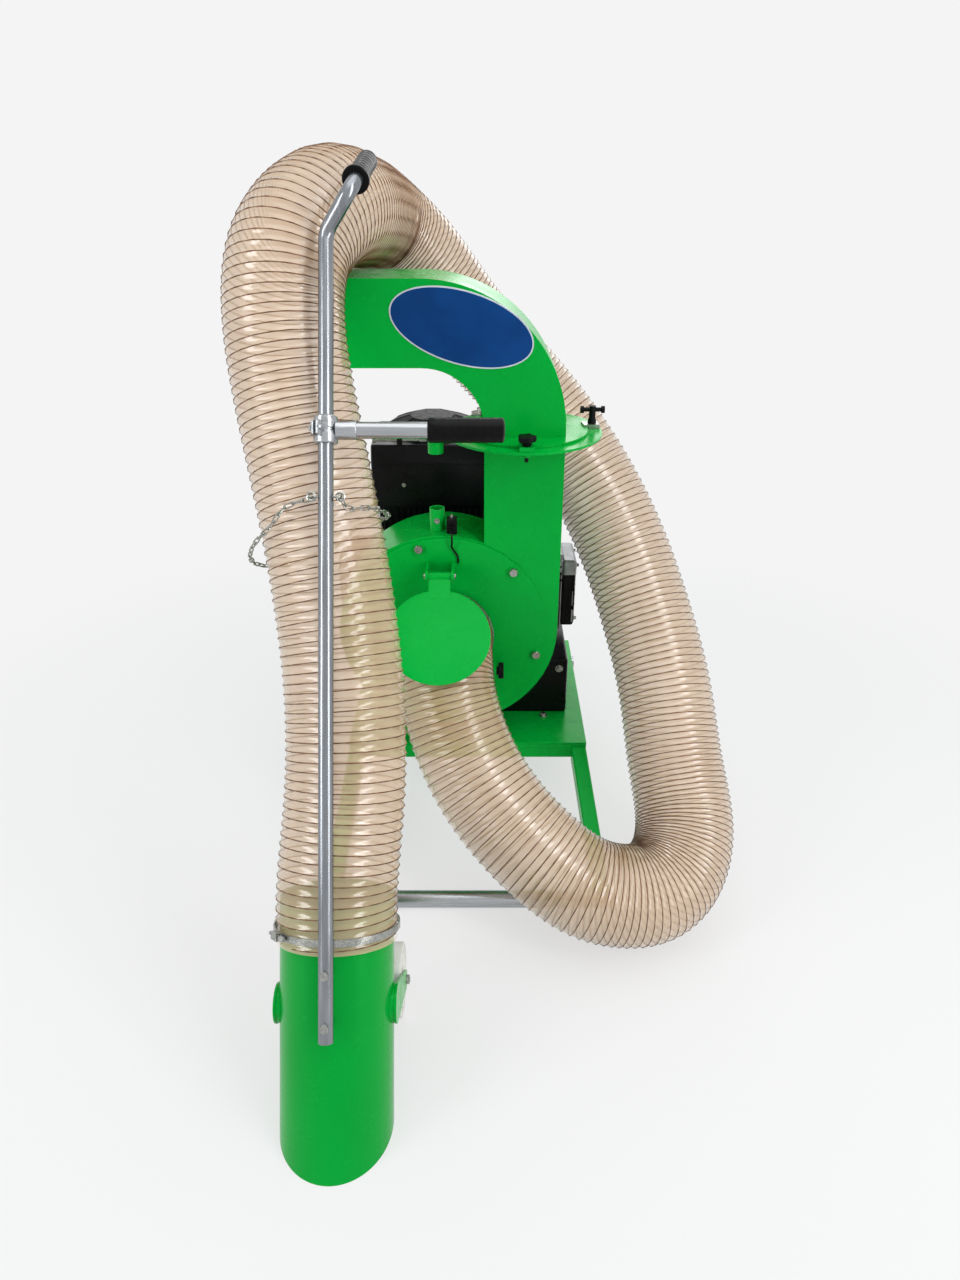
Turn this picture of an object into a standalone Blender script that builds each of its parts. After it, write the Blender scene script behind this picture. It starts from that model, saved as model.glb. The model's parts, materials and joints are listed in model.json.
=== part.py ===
"""Leaf vacuum: an engine driven fan on a low stand, with a turning chute, a wire hose and a wheeled lance.

Metres, +Z up, -Y towards the fan inlet. The origin lies on the floor under the middle of the machine.
Run with: blender --background --python part.py
"""
import math

import bmesh
import bpy
import numpy as np
from mathutils import Matrix, Vector

# Fits
SEAT = 0.0003                 # gap between two pieces that touch
BORE_GAP = 0.0004             # radial gap round a bolt or pin
WELD = 0.0008                 # how far welded solids run into each other

# Fan housing
FAN_X = -0.1318
FAN_Z = 0.517
FAN_FRONT_Y = 0.104           # front face of the housing
FAN_DEPTH = 0.146
SCROLL_START_R = 0.232        # scroll radius at the duct's lip
SCROLL_END_R = 0.2525         # scroll radius where it runs into the duct
DUCT_WIDTH = 0.166
SHEET = 0.003
COVER_OPENING_R = 0.198
SHAFT_HOLE_R = 0.022
COPE_OVERRUN = 0.02            # how far a coping cutter runs past the housing

# Inlet cover
COVER_INSET = 0.0025          # the cover's edge inside the scroll's lip
COVER_SHEET = 0.004
COLLAR_LENGTH = 0.028
COLLAR_WALL = 0.0025
COVER_BOLTS = 6
COVER_BOLT_INSET = 0.0165     # the bolts' centres inside the cover's edge
COVER_BOLT_FIRST_DEG = 105.0
BOLT_FLATS = 0.017
BOLT_HEAD = 0.007
WASHER_R = 0.0125
WASHER_T = 0.002

# Impeller and crankshaft
IMPELLER_R = 0.190
IMPELLER_BLADES = 6
BLADE_T = 0.004
BLADE_INNER_R = 0.052
BLADE_FRONT_GAP = 0.024
BACK_DISC_T = 0.004
BACK_DISC_GAP = 0.008
HUB_R = 0.031
HUB_BACK = 0.020              # hub's front behind the blades' front
SHAFT_START = 0.040           # shaft's front end behind the blades' front
SHAFT_R = 0.0127
BLADE_ROOT = 0.004            # how far a blade runs into the hub
BLADE_TIP_INSET = 0.002
BLADE_NOTCH = 0.035           # depth of the cut corner at a blade's inner end

# Swivel
FLANGE_Z = 0.9555             # underside of the fixed flange
FLANGE_R = 0.165
FLANGE_T = 0.005
TURN_FLANGE_R = 0.136
CLAMP_CIRCLE_R = 0.147
CLAMP_FRONT_DEG = 270.0
CLAMP_RIGHT_DEG = 8.0
CLAMP_REAR_DEG = 128.0
KEEPER_WIDTH = 0.030
KEEPER_OUT = 0.014            # from the stud to the keeper's outer edge
KEEPER_REACH = 0.009          # how far a keeper reaches over the turning flange
KEEPER_FOOT_GAP = 0.0015
KEEPER_T = 0.004
STUD_R = 0.004
STUD_OUT = 0.010              # how far a stud runs out of its nut
KNOB_LOBES = 5
STAR_KNOB_R = 0.0198
STAR_KNOB_Z = (0.008, 0.020)  # the head above the keeper
STAR_KNOB_WAVE = 0.005
STAR_KNOB_NECK_R = (0.0085, 0.013)
T_POST_R = 0.007
T_POST_H = 0.036
T_FOOT_R = 0.009
T_BAR_Z = 0.028
T_BAR_R = 0.0045
T_BAR_HALF = 0.0205
T_BUTTON_R = 0.0075
T_BUTTON_OUT = 0.005          # how far a button stands out past the bar
WELD_NUT_R = 0.0085
WELD_NUT_H = 0.008

# Discharge chute
CHUTE_SHEET = 0.0025
CHUTE_STRAIGHT = 0.018        # upright run below the bend
CHUTE_BEND_R = 0.125          # inner radius of the bend
CHUTE_SWEEP_R = 0.371         # the outlet corner's distance from the swivel axis
CHUTE_RIM_T = 0.003
CHUTE_RIM_W = 0.014

# Boom sockets
BOOM_DEG = 189.81              # from the swivel's axis, round from +X
BOOM_BEYOND = 0.02275         # from the flange's edge out to the socket's axis
BOOM_R = 0.0165
BOOM_WALL = 0.003
BOOM_LOWER_RISE = 0.282       # the lower sleeve's top above the fan's axis
BOOM_UPPER_DROP = 0.034
BOOM_UPPER_STOP = 0.002       # from the upper sleeve's bore up to the flange
BOOM_ROOT = 0.012             # the lower sleeve starts this far inside the scroll's lip
BOOM_FLOOR = 0.020            # its bore starts this far above that
BOOM_EAR_R = 0.024

# Safety flap
FLAP_X = -0.1403
FLAP_HINGE_Y = 0.050
FLAP_HINGE_Z = 0.680
FLAP_TILT_DEG = 53.0          # from hanging straight down
FLAP_R = 0.1085
FLAP_T = 0.003
FLAP_EDGE = 0.003             # width of the eased edge on its face
FLAP_ARM = 0.1425             # hinge to disc centre
FLAP_TONGUE_WIDTH = 0.046
HINGE_BARREL_R = 0.009
HINGE_BARREL_LENGTH = 0.049
HINGE_PIN_R = 0.004
HINGE_PIN_HEAD_R = 0.0065
HINGE_PIN_HEAD_T = 0.003
HINGE_LUG_T = 0.006
HINGE_LUG_H = 0.026

# Interlock switch
SWITCH_X = -0.1154
SWITCH_Y = 0.130
SWITCH_RISE = 0.0017           # the scroll's growth from its lip to the switch
SWITCH_SIZE = (0.022, 0.030, 0.030)
PLUNGER_R = 0.0035
PLUNGER_OUT = 0.008
PLUNGER_IN = 0.010
PLUNGER_TRAVEL = 0.004
GLAND_R = 0.006
GLAND_OUT = 0.006
GLAND_DROP = 0.016            # below the switch's top
SWITCH_CABLE_R = 0.0022
SWITCH_CABLE_ASIDE = 0.008    # from the hinge lug's side
SWITCH_CABLE_SPACING = 0.008
SWITCH_CABLE_END = 0.010      # its end above the flap's hinge
SWITCH_CABLE_SHARES = (0.70, 0.47, 0.24)  # of the fall from the gland to that end

# Inlet hand knob
INLET_KNOB_X = 0.110          # lug centre from the fan axis
INLET_KNOB_Z = -0.084
INLET_LUG = (0.010, 0.040, 0.024)
INLET_KNOB_R = 0.0195
INLET_KNOB_T = 0.012
INLET_KNOB_WAVE = 0.003       # depth of the waves round its rim
INLET_KNOB_NECK = 0.004
INLET_KNOB_NECK_R = 0.009

# Hose
HOSE_OD = 0.212
HOSE_WALL = 0.0045
HOSE_SPACING = 0.070
HOSE_BEVEL_RESOLUTION = 5
HOSE_END_Y = 0.092
HOSE_LAST_RUN = 0.024          # straight end over the inlet collar
CLAMP_BAND_T = 0.0022
CLAMP_BAND_W = 0.012
CLAMP_BAND_GAP = 0.0008
CLAMP_FROM_END = 0.004        # the inlet clamp's edge from the hose's end
INLET_SCREW_DEG = 160.0       # the screws' places round their bands
NOZZLE_SCREW_DEG = 216.0

# Lance
LANCE_X = -0.3018
LANCE_FOOT_Y = -0.739         # where the lance's axis meets the floor
LANCE_LEAN_DEG = 28.5
NOZZLE_OD = 0.196
NOZZLE_WALL = 0.0025
NOZZLE_TOP = 0.398            # along the lance's axis, from the floor
HOSE_END_S = 0.322
NOZZLE_CLAMP_S = 0.345
POLE_D = 0.025
POLE_WALL = 0.0025
POLE_BOTTOM_S = 0.192
POLE_BEND_S = 1.492
POLE_BEND_R = 0.030
POLE_SHOULDER = (0.0484, -0.0193, 0.0672)  # from the lower bend's corner to the upper bend's
GRIP_RUN = (0.0117, 0.1401, 0.0330)        # from the upper bend's corner to the grip's end
POLE_BOLT_S = (0.2195, 0.303)
POLE_BOLT_R = 0.004
POLE_BOLT_FLATS = 0.013
POLE_BOLT_HEAD = 0.0055
POLE_NUT_T = 0.006
SPACER_R = 0.008
END_GRIP_D = 0.034
END_GRIP_COLLAR_D = 0.044
END_GRIP_COLLAR_T = 0.009
END_GRIP_LENGTH = 0.113
END_GRIP_CAP = 0.006

# Side handle
TEE_S = 1.174
TEE_R = 0.0195
TEE_H = 0.044
TEE_SOCKET = 0.050
TEE_WALL = 0.0035
TEE_LUG = (0.010, 0.016, 0.024)            # how far out, across both lugs, and height
TEE_BOLT_R = 0.004
TEE_BOLT_HEAD_R = 0.007
TEE_BOLT_Y = (-0.017, -0.012, 0.013)       # head's outer face, its seat and the bolt's far end
TEE_LUG_DEG = 60.0            # lugs' turn from straight left towards the front
SIDE_TUBE_D = 0.027
SIDE_TUBE_WALL = 0.0025
SIDE_TUBE_START = 0.018
SIDE_GRIP_START = 0.1635
SIDE_GRIP_LENGTH = 0.124
SIDE_GRIP_D = 0.040
SIDE_GRIP_CAP = 0.006

# Chain round the hose
CHAIN_S = 1.0676
CHAIN_EYE_OUT = 0.0235        # eye centre from the pole's axis
CHAIN_EYE_R = 0.0065
CHAIN_EYE_WIRE_R = 0.0022
CHAIN_R = 0.0026
CHAIN_HANG = 0.0011           # from the eye's centre down to the chain's
CHAIN_LOOP_R = 0.1180
CHAIN_CENTRE_X = -0.030
CHAIN_FIRST_DROP = 0.012      # the loop's ends below the eyes
CHAIN_DROP = 0.085            # how far it hangs below that on its left
CHAIN_SAG_END = 0.62          # share of the loop that hangs
CHAIN_LEFT_DEG = 256.0        # where the loop starts, left of the pole
CHAIN_RIGHT_DEG = -60.0
CHAIN_LOOP_STEPS = 18

# Nozzle wheels
WHEEL_D = 0.140
WHEEL_WIDTH = 0.022
WHEEL_OFFSET = 0.0885
WHEEL_Y = -0.490
WHEEL_HUB_R = 0.020
WHEEL_RIM = 0.013
WHEEL_WEB_INSET = 0.005
AXLE_R = 0.005
BRACKET_T = 0.004
BRACKET_GAP = 0.0018
BRACKET_SADDLE = 0.012        # how far the pad wraps in round the nozzle
BRACKET_PAD_S = 0.208
BRACKET_PAD_R = 0.034
BRACKET_END_R = 0.018
AXLE_NUT_R = 0.009
AXLE_NUT_T = 0.0065

# Stand
FRAME_X = -0.0843
FRAME_HALF_WIDTH = 0.290
FRAME_FRONT_Y = 0.114
FRAME_REAR_Y = 0.640
FRAME_TOP_Z = 0.200
FRAME_TUBE = 0.040
DECK_T = 0.004
LEG_TUBE = 0.036
LEG_WALL = 0.003
LEG_TOP_INSET = 0.020
LEG_SPLAY = 0.030             # how far a foot stands further out than its leg's top
FRONT_BAR_Y = -0.222
REAR_BAR_Y = 0.8315
FOOT_BAR_D = 0.038
FOOT_BAR_WALL = 0.003
FOOT_BAR_LENGTH = 0.660

# Engine
RISER_X = (-0.290, 0.1657)
RISER_Y = (0.252, 0.560)
RISER_TOP_Z = 0.360
RISER_SHEET = 0.004
RISER_EDGE = 0.006
CASE_HALF_WIDTH = 0.110
CASE_FRONT_Y = 0.300
CASE_REAR_Y = 0.500
CASE_TOP_Z = 0.640
CASE_EDGE = 0.014
BOSS_R = 0.080
BOSS_BORE_GAP = 0.004
BOSS_BORE_STOP = 0.012        # from the boss's bore to the crankcase's front
CYLINDER_Y = 0.410
CYLINDER_Z = 0.500
CYLINDER_CORE_R = 0.048
CYLINDER_FIN_SIZE = 0.150
CYLINDER_FINS = 6
CYLINDER_LENGTH = 0.130
FIN_T = 0.004
HEAD_THICKNESS = 0.040
HEAD_HEIGHT = 0.215
HEAD_LIFT = 0.010             # the head's underside above half its height
HEAD_GROOVES = 4
HEAD_GROOVE_FIRST = 0.012     # below the head's top
HEAD_GROOVE_PITCH = 0.018
HEAD_GROOVE_WIDTH = 0.006
HEAD_GROOVE_FLOOR = 0.008     # from the barrel's end
ROCKER_DEPTH = 0.036
ROCKER_INSET = 0.012
COWL_X = (-0.304, -0.024)
COWL_Y = (0.302, 0.520)
COWL_Z = (0.742, 0.887)
COWL_CREASE_Z = 0.852
COWL_LEAN = 0.012
COWL_SHEET = 0.002
SHROUD_X = (-0.292, -0.034)
SHROUD_Y = (0.316, 0.492)
SHROUD_SHEET = 0.002
SHROUD_EDGE = 0.004
INTAKE_NECK_R = 0.030
AIR_CLEANER_X = -0.168
AIR_CLEANER_Y = 0.450
AIR_CLEANER_R = 0.114
AIR_CLEANER_TOP_Z = 0.922
AIR_CLEANER_SHOULDER = ((0.0547, 0), (0.0251, 0.006), (0.0057, 0.014), (0, 0.022))  # in from its edge, drop
THROTTLE_ROD_X = (-0.300, -0.176)
THROTTLE_ROD_Z = 0.896
THROTTLE_ROD_Y = 0.322
THROTTLE_ROD_R = 0.003
THROTTLE_GUIDE_HALF = 0.006
THROTTLE_END_R = 0.0055
THROTTLE_END_LENGTHS = (0.016, 0.008)  # the knob at its right end and the stop at its left
MUFFLER_X = (-0.395, -0.262)
MUFFLER_Y = (0.330, 0.500)
MUFFLER_Z = (0.440, 0.600)
MUFFLER_PORT_Z = 0.530
MUFFLER_SHEET = 0.002
MUFFLER_EDGE = 0.022
PORT_FLANGE_R = 0.028
PORT_FLANGE_T = 0.008
PORT_NECK_R = 0.017
TAIL_PIPE_R = 0.014
TAIL_PIPE_LENGTH = 0.030
TAIL_PIPE_DROP = 0.040
TANK_X = (-0.305, 0.035)
TANK_Y = (0.528, 0.712)
TANK_Z = (0.632, 0.800)
TANK_SHELF_HALF = 0.070       # the crankcase's shelf under the tank
TANK_SHELF_T = 0.009
TANK_SHELF_REAR_Y = 0.665
TANK_EDGE = 0.022
FUEL_CAP_IN = 0.085           # from the tank's left end
FUEL_CAP_LOBES = 12
FUEL_CAP_WAVE = 0.002
FUEL_CAP_R = 0.031
FUEL_CAP_H = 0.022
RECOIL_R = 0.102
RECOIL_REAR_Y = 0.604
RECOIL_SHOULDER = ((0.0561, 0), (0.0204, 0.012), (0, 0.040))  # in from its edge, drop
RECOIL_GRIP_LENGTH = 0.088
RECOIL_GRIP_WIDTH = 0.018
RECOIL_GRIP_OUT = (0.012, 0.026)  # its near and far sides from the eyelet
RECOIL_GRIP_NECK_R = 0.006
RECOIL_GRIP_Y = 0.555
RECOIL_GRIP_DROP = 0.030       # below the fan's axis
RECOIL_EYELET_OUT = 0.014
RECOIL_EYELET_R = 0.010
STOP_HOLDER_HALF = (0.016, 0.022)
STOP_HOLDER_DEPTH = 0.012
STOP_HOLDER_FLOOR = 0.001
STOP_WELL_HALF = (0.0095, 0.0145)
STOP_SWITCH_X = 0.085
STOP_SWITCH_Z = 0.290
STOP_SWITCH_PIVOT = 0.008     # behind the riser's back

# Places worked out from the sizes above
COVER_R = SCROLL_START_R - COVER_INSET
COVER_BOLT_CIRCLE_R = COVER_R - COVER_BOLT_INSET
SWIVEL_X = FAN_X + SCROLL_END_R - DUCT_WIDTH / 2
SWIVEL_Y = FAN_FRONT_Y + FAN_DEPTH / 2
BOOM_X = SWIVEL_X + (FLANGE_R + BOOM_BEYOND) * math.cos(math.radians(BOOM_DEG))
BOOM_Y = SWIVEL_Y + (FLANGE_R + BOOM_BEYOND) * math.sin(math.radians(BOOM_DEG))
BOOM_LOWER_TOP_Z = FAN_Z + BOOM_LOWER_RISE
FLANGE_TOP_Z = FLANGE_Z + FLANGE_T
HOSE_R = HOSE_OD / 2
NOZZLE_R = NOZZLE_OD / 2
POLE_R = POLE_D / 2
CLAMP_BAND_INNER_R = HOSE_R + CLAMP_BAND_GAP
POLE_OFFSET = CLAMP_BAND_INNER_R + CLAMP_BAND_T + SEAT + POLE_R
LEAN = math.radians(LANCE_LEAN_DEG)
LANCE_UP = Vector((0, math.sin(LEAN), math.cos(LEAN)))
LANCE_BACK = Vector((0, math.cos(LEAN), -math.sin(LEAN)))
LANCE_FOOT = Vector((LANCE_X, LANCE_FOOT_Y, 0))
WHEEL_CENTRE = Vector((LANCE_X, WHEEL_Y, WHEEL_D / 2))
BRACKET_INNER_X = WHEEL_OFFSET + WHEEL_WIDTH / 2 + BRACKET_GAP
FOOT_BAR_R = FOOT_BAR_D / 2

# The hose's own route between its two straight ends, chosen by hand
HOSE_ROUTE = [
    (-0.292, -0.483, 0.464), (-0.288, -0.398, 0.619), (-0.307, -0.306, 0.791),
    (-0.342, -0.213, 0.963), (-0.376, -0.137, 1.113), (-0.392, -0.080, 1.242),
    (-0.381, -0.024, 1.332), (-0.343, 0.057, 1.382), (-0.305, 0.216, 1.382),
    (-0.265, 0.377, 1.343), (-0.201, 0.434, 1.276), (-0.100, 0.462, 1.143),
    (0.047, 0.459, 0.985), (0.172, 0.405, 0.838), (0.269, 0.309, 0.682),
    (0.332, 0.184, 0.527), (0.369, 0.051, 0.386), (0.383, -0.065, 0.268),
    (0.391, -0.172, 0.176), (0.353, -0.258, 0.126), (0.298, -0.301, 0.114),
    (0.235, -0.315, 0.120), (0.173, -0.311, 0.136), (0.104, -0.283, 0.168),
    (0.012, -0.224, 0.233), (-0.060, -0.158, 0.310), (-0.108, -0.093, 0.402),
    (-0.127, -0.046, 0.468), (-0.1315, 0.008, 0.508)]

# Looks: colour, roughness, metallic
LOOKS = {
    "green_paint": ((0.0, 0.38, 0.04), 0.3, 0.0),
    "black_paint": ((0.012, 0.012, 0.013), 0.4, 0.0),
    "black_rubber": ((0.015, 0.015, 0.015), 0.75, 0.0),
    "black_plastic": ((0.02, 0.02, 0.022), 0.45, 0.0),
    "galvanised": ((0.52, 0.54, 0.55), 0.42, 0.9),
    "zinc": ((0.62, 0.62, 0.60), 0.3, 0.95),
    "cast_aluminium": ((0.42, 0.42, 0.42), 0.5, 0.85),
    "white_nylon": ((0.78, 0.78, 0.75), 0.5, 0.0),
    "clear_hose": ((0.66, 0.50, 0.38), 0.3, 0.0),
    "red_plastic": ((0.5, 0.02, 0.02), 0.4, 0.0),
}


def empty_scene():
    for item in list(bpy.data.objects):
        bpy.data.objects.remove(item, do_unlink=True)


def new_collection(name):
    group = bpy.data.collections.new(name)
    bpy.context.scene.collection.children.link(group)
    return group


def look(name):
    material = bpy.data.materials.get(name)
    if material is None:
        colour, roughness, metallic = LOOKS[name]
        material = bpy.data.materials.new(name)
        material.use_nodes = True
        shader = material.node_tree.nodes["Principled BSDF"]
        shader.inputs["Base Color"].default_value = (*colour, 1)
        shader.inputs["Roughness"].default_value = roughness
        shader.inputs["Metallic"].default_value = metallic
    return material


def frame_at(name, place, turn=None):
    """An empty that carries the pieces built round it."""
    holder = bpy.data.objects.new(name, None)
    holder.empty_display_size = 0.05
    PARTS.objects.link(holder)
    holder.matrix_world = Matrix.Translation(place) @ (turn or Matrix.Identity(4))
    return holder


def from_bmesh(bm):
    """A loose solid, not yet a named part."""
    mesh = bpy.data.meshes.new("solid")
    bmesh.ops.recalc_face_normals(bm, faces=bm.faces)
    bm.to_mesh(mesh)
    bm.free()
    solid = bpy.data.objects.new("solid", mesh)
    CUTTERS.objects.link(solid)
    return solid


def span(low, high):
    """A box between two corners."""
    low, high = Vector(low), Vector(high)
    bm = bmesh.new()
    bmesh.ops.create_cube(bm, size=1.0)
    size = high - low
    bmesh.ops.transform(bm, matrix=Matrix.Translation((low + high) / 2) @ Matrix.Diagonal((*size, 1)),
                        verts=bm.verts)
    return from_bmesh(bm)


def rod(start, end, radius, end_radius=None, sides=16):
    """A cylinder or cone between two points."""
    start, end = Vector(start), Vector(end)
    along = end - start
    bm = bmesh.new()
    bmesh.ops.create_cone(bm, cap_ends=True, segments=sides, radius1=radius,
                          radius2=radius if end_radius is None else end_radius, depth=along.length)
    turn = along.to_track_quat("Z", "Y").to_matrix().to_4x4()
    bmesh.ops.transform(bm, matrix=Matrix.Translation((start + end) / 2) @ turn, verts=bm.verts)
    return from_bmesh(bm)


def slab(outline, low, high, axis="Y"):
    """A flat outline pushed along an axis. Its pairs are (x, z) for Y, (x, y) for Z and (y, z) for X."""
    places = {"Y": lambda a, b, d: (a, d, b), "Z": lambda a, b, d: (a, b, d), "X": lambda a, b, d: (d, a, b)}
    place = places[axis]
    bm = bmesh.new()
    face = bm.faces.new([bm.verts.new(place(a, b, low)) for a, b in outline])
    pushed = bmesh.ops.extrude_face_region(bm, geom=[face])
    moved = [item for item in pushed["geom"] if isinstance(item, bmesh.types.BMVert)]
    bmesh.ops.translate(bm, vec=Vector(place(0, 0, high - low)), verts=moved)
    return from_bmesh(bm)


def turned(profile, place=(0, 0, 0), axis=(0, 0, 1), steps=32):
    """A turned solid. The profile's pairs are (radius, height), from the top down its outer side."""
    bm = bmesh.new()
    points = [bm.verts.new((radius, 0, height)) for radius, height in profile]
    for a, b in zip(points, points[1:]):
        bm.edges.new((a, b))
    closed = profile[0][0] > 0
    if closed:
        bm.edges.new((points[-1], points[0]))
    mesh = bpy.data.meshes.new("profile")
    bm.to_mesh(mesh)
    bm.free()
    solid = bpy.data.objects.new("profile", mesh)
    CUTTERS.objects.link(solid)
    screw = solid.modifiers.new("turn", "SCREW")
    screw.steps = screw.render_steps = steps
    screw.use_merge_vertices = True
    screw.merge_threshold = 0.00001
    screw.use_normal_calculate = True
    solid.matrix_world = Matrix.Translation(place) @ Vector(axis).to_track_quat("Z", "Y").to_matrix().to_4x4()
    return settle(solid)


def settle(solid):
    """Keeps the evaluated shape, with the solid's own placing worked into its mesh."""
    bpy.context.view_layer.update()
    evaluated = solid.evaluated_get(bpy.context.evaluated_depsgraph_get())
    mesh = bpy.data.meshes.new_from_object(evaluated)
    mesh.transform(solid.matrix_world)
    bm = bmesh.new()
    bm.from_mesh(mesh)
    bmesh.ops.remove_doubles(bm, verts=bm.verts, dist=0.000005)
    bmesh.ops.recalc_face_normals(bm, faces=bm.faces)
    bm.to_mesh(mesh)
    bm.free()
    settled = bpy.data.objects.new("solid", mesh)
    CUTTERS.objects.link(settled)
    bpy.data.objects.remove(solid, do_unlink=True)
    return settled


def pipe(points, radius, wall=None, resolution=4, capped=True):
    """A round bar or tube along a path. With a wall it is open at both ends."""
    curve = bpy.data.curves.new("path", "CURVE")
    curve.dimensions = "3D"
    curve.bevel_depth = radius
    curve.bevel_resolution = resolution
    curve.use_fill_caps = capped and wall is None
    path = curve.splines.new("POLY")
    path.points.add(len(points) - 1)
    for point, place in zip(path.points, points):
        point.co = (*place, 1)
    solid = settle_curve(curve)
    if wall:
        skin = solid.modifiers.new("wall", "SOLIDIFY")
        skin.thickness = wall
        skin.offset = -1
        skin.use_even_offset = True
        solid = settle(solid)
    return solid


def settle_curve(curve):
    holder = bpy.data.objects.new("path", curve)
    CUTTERS.objects.link(holder)
    return settle(holder)


def bevelled(solid, width, segments=2, angle=math.radians(40)):
    edge = solid.modifiers.new("edge", "BEVEL")
    edge.width = width
    edge.segments = segments
    edge.limit_method = "ANGLE"
    edge.angle_limit = angle
    return settle(solid)


def combine(solid, others, operation):
    for other in others:
        boolean = solid.modifiers.new("combine", "BOOLEAN")
        boolean.operation = operation
        boolean.solver = "EXACT"
        boolean.object = other
        bpy.context.view_layer.update()
        done = settle(solid)
        bpy.data.objects.remove(other, do_unlink=True)
        solid = done
    return solid


def weld(solid, *others):
    return combine(solid, others, "UNION")


def cut(solid, *others):
    return combine(solid, others, "DIFFERENCE")


def part(name, solid, look_name, frame=None):
    """Gives a finished solid its name, finish and carrier."""
    solid.name = name
    solid.data.name = name
    solid.data.materials.clear()
    solid.data.materials.append(look(look_name))
    solid.data.shade_smooth()
    solid.data.set_sharp_from_angle(angle=math.radians(32))
    CUTTERS.objects.unlink(solid)
    PARTS.objects.link(solid)
    if frame:
        solid.parent = frame
    return solid


def arc(centre, radius, start_deg, end_deg, steps):
    """Points along an arc, both ends included."""
    turns = np.radians(np.linspace(start_deg, end_deg, steps + 1))
    return [(centre[0] + radius * math.cos(t), centre[1] + radius * math.sin(t)) for t in turns]


def ring_band(inner_r, thickness, width, place, axis, steps=28):
    outer_r, half = inner_r + thickness, width / 2
    return turned([(outer_r, half), (outer_r, -half), (inner_r, -half), (inner_r, half)], place, axis, steps)


def hex_bolt_head(place, axis, flats=BOLT_FLATS, height=BOLT_HEAD):
    axis = Vector(axis).normalized()
    return rod(place, Vector(place) + axis * height, flats / 2 / math.cos(math.pi / 6), sides=6)


def lobed_outline(radius, lobes, depth, steps_per_lobe=5):
    """A hand knob's outline, with shallow waves round its rim."""
    points = []
    for step in range(lobes * steps_per_lobe):
        turn = 2 * math.pi * step / (lobes * steps_per_lobe)
        wave = radius - depth * (0.5 - 0.5 * math.cos(lobes * turn))
        points.append((wave * math.cos(turn), wave * math.sin(turn)))
    return points


def rounded_path(corners, radius, steps=4):
    """Corner points joined by straight runs, with each inner corner rounded."""
    corners = [Vector(corner) for corner in corners]
    path = [corners[0]]
    for before, corner, after in zip(corners, corners[1:], corners[2:]):
        into, out = (corner - before).normalized(), (after - corner).normalized()
        turn = into.angle(out)
        reach = radius * math.tan(turn / 2)
        centre = corner + (out - into).normalized() * radius / math.cos(turn / 2)
        start = corner - into * reach - centre
        axis = into.cross(out).normalized()
        for step in range(steps + 1):
            path.append(centre + Matrix.Rotation(turn * step / steps, 3, axis) @ start)
    path.append(corners[-1])
    return path


def smooth_route(points, first_way, last_way, spacing):
    """A cubic spline through the points, with its end directions given, read at even steps."""
    places = np.array([tuple(point) for point in points])
    steps = np.linalg.norm(np.diff(places, axis=0), axis=1)
    slopes = np.diff(places, axis=0) / steps[:, None]
    count = len(places)
    matrix, known = np.zeros((count, count)), np.zeros((count, 3))
    matrix[0, :2] = 2 * steps[0], steps[0]
    known[0] = 6 * (slopes[0] - np.array(first_way))
    matrix[-1, -2:] = steps[-1], 2 * steps[-1]
    known[-1] = 6 * (np.array(last_way) - slopes[-1])
    for i in range(1, count - 1):
        matrix[i, i - 1:i + 2] = steps[i - 1], 2 * (steps[i - 1] + steps[i]), steps[i]
        known[i] = 6 * (slopes[i] - slopes[i - 1])
    bends = np.linalg.solve(matrix, known)
    fine = []
    for i, step in enumerate(steps):
        for share in np.linspace(0, 1, 24, endpoint=False):
            back, ahead = 1 - share, share
            fine.append(back * places[i] + ahead * places[i + 1] + step ** 2 / 6
                        * ((back ** 3 - back) * bends[i] + (ahead ** 3 - ahead) * bends[i + 1]))
    fine = np.array(fine + [places[-1]])
    run = np.concatenate([[0], np.cumsum(np.linalg.norm(np.diff(fine, axis=0), axis=1))])
    marks = np.linspace(0, run[-1], int(round(run[-1] / spacing)) + 1)
    return [tuple(np.interp(mark, run, fine[:, axis]) for axis in range(3)) for mark in marks]


# Fan housing, built round the fan's axis with its front face at y = 0

def scroll_outline(inset, top):
    """The scroll and its upright duct. The scroll opens evenly from its lip to the duct's outer wall."""
    right = SCROLL_END_R - inset
    left = SCROLL_END_R - DUCT_WIDTH + inset
    start_r = SCROLL_START_R - inset
    lip = math.degrees(math.acos(left / start_r))
    steps = 44
    points = []
    for step in range(steps + 1):
        share = step / steps
        turn = math.radians(lip + (360 - lip) * share)
        radius = start_r + (right - start_r) * share
        points.append((radius * math.cos(turn), radius * math.sin(turn)))
    return points + [(right, top), (left, top)]


def build_fan_housing(frame):
    top = FLANGE_TOP_Z - FAN_Z
    body = slab(scroll_outline(0, top), 0, FAN_DEPTH)
    room = slab(scroll_outline(SHEET, top + 0.02), SHEET, FAN_DEPTH - SHEET)
    opening = rod((0, -0.01, 0), (0, SHEET + 0.01, 0), COVER_OPENING_R, sides=40)
    shaft_hole = rod((0, FAN_DEPTH - SHEET - 0.01, 0), (0, FAN_DEPTH + 0.01, 0), SHAFT_HOLE_R)
    return part("fan_housing", cut(body, room, opening, shaft_hole), "green_paint", frame)


def scroll_cutter():
    """The scroll's outline a fitting gap larger, which copes what stands on it."""
    cutter = slab(scroll_outline(-SEAT, FLANGE_TOP_Z - FAN_Z), -COPE_OVERRUN, FAN_DEPTH + COPE_OVERRUN)
    cutter.data.transform(Matrix.Translation((FAN_X, FAN_FRONT_Y, FAN_Z)))
    return cutter


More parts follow.
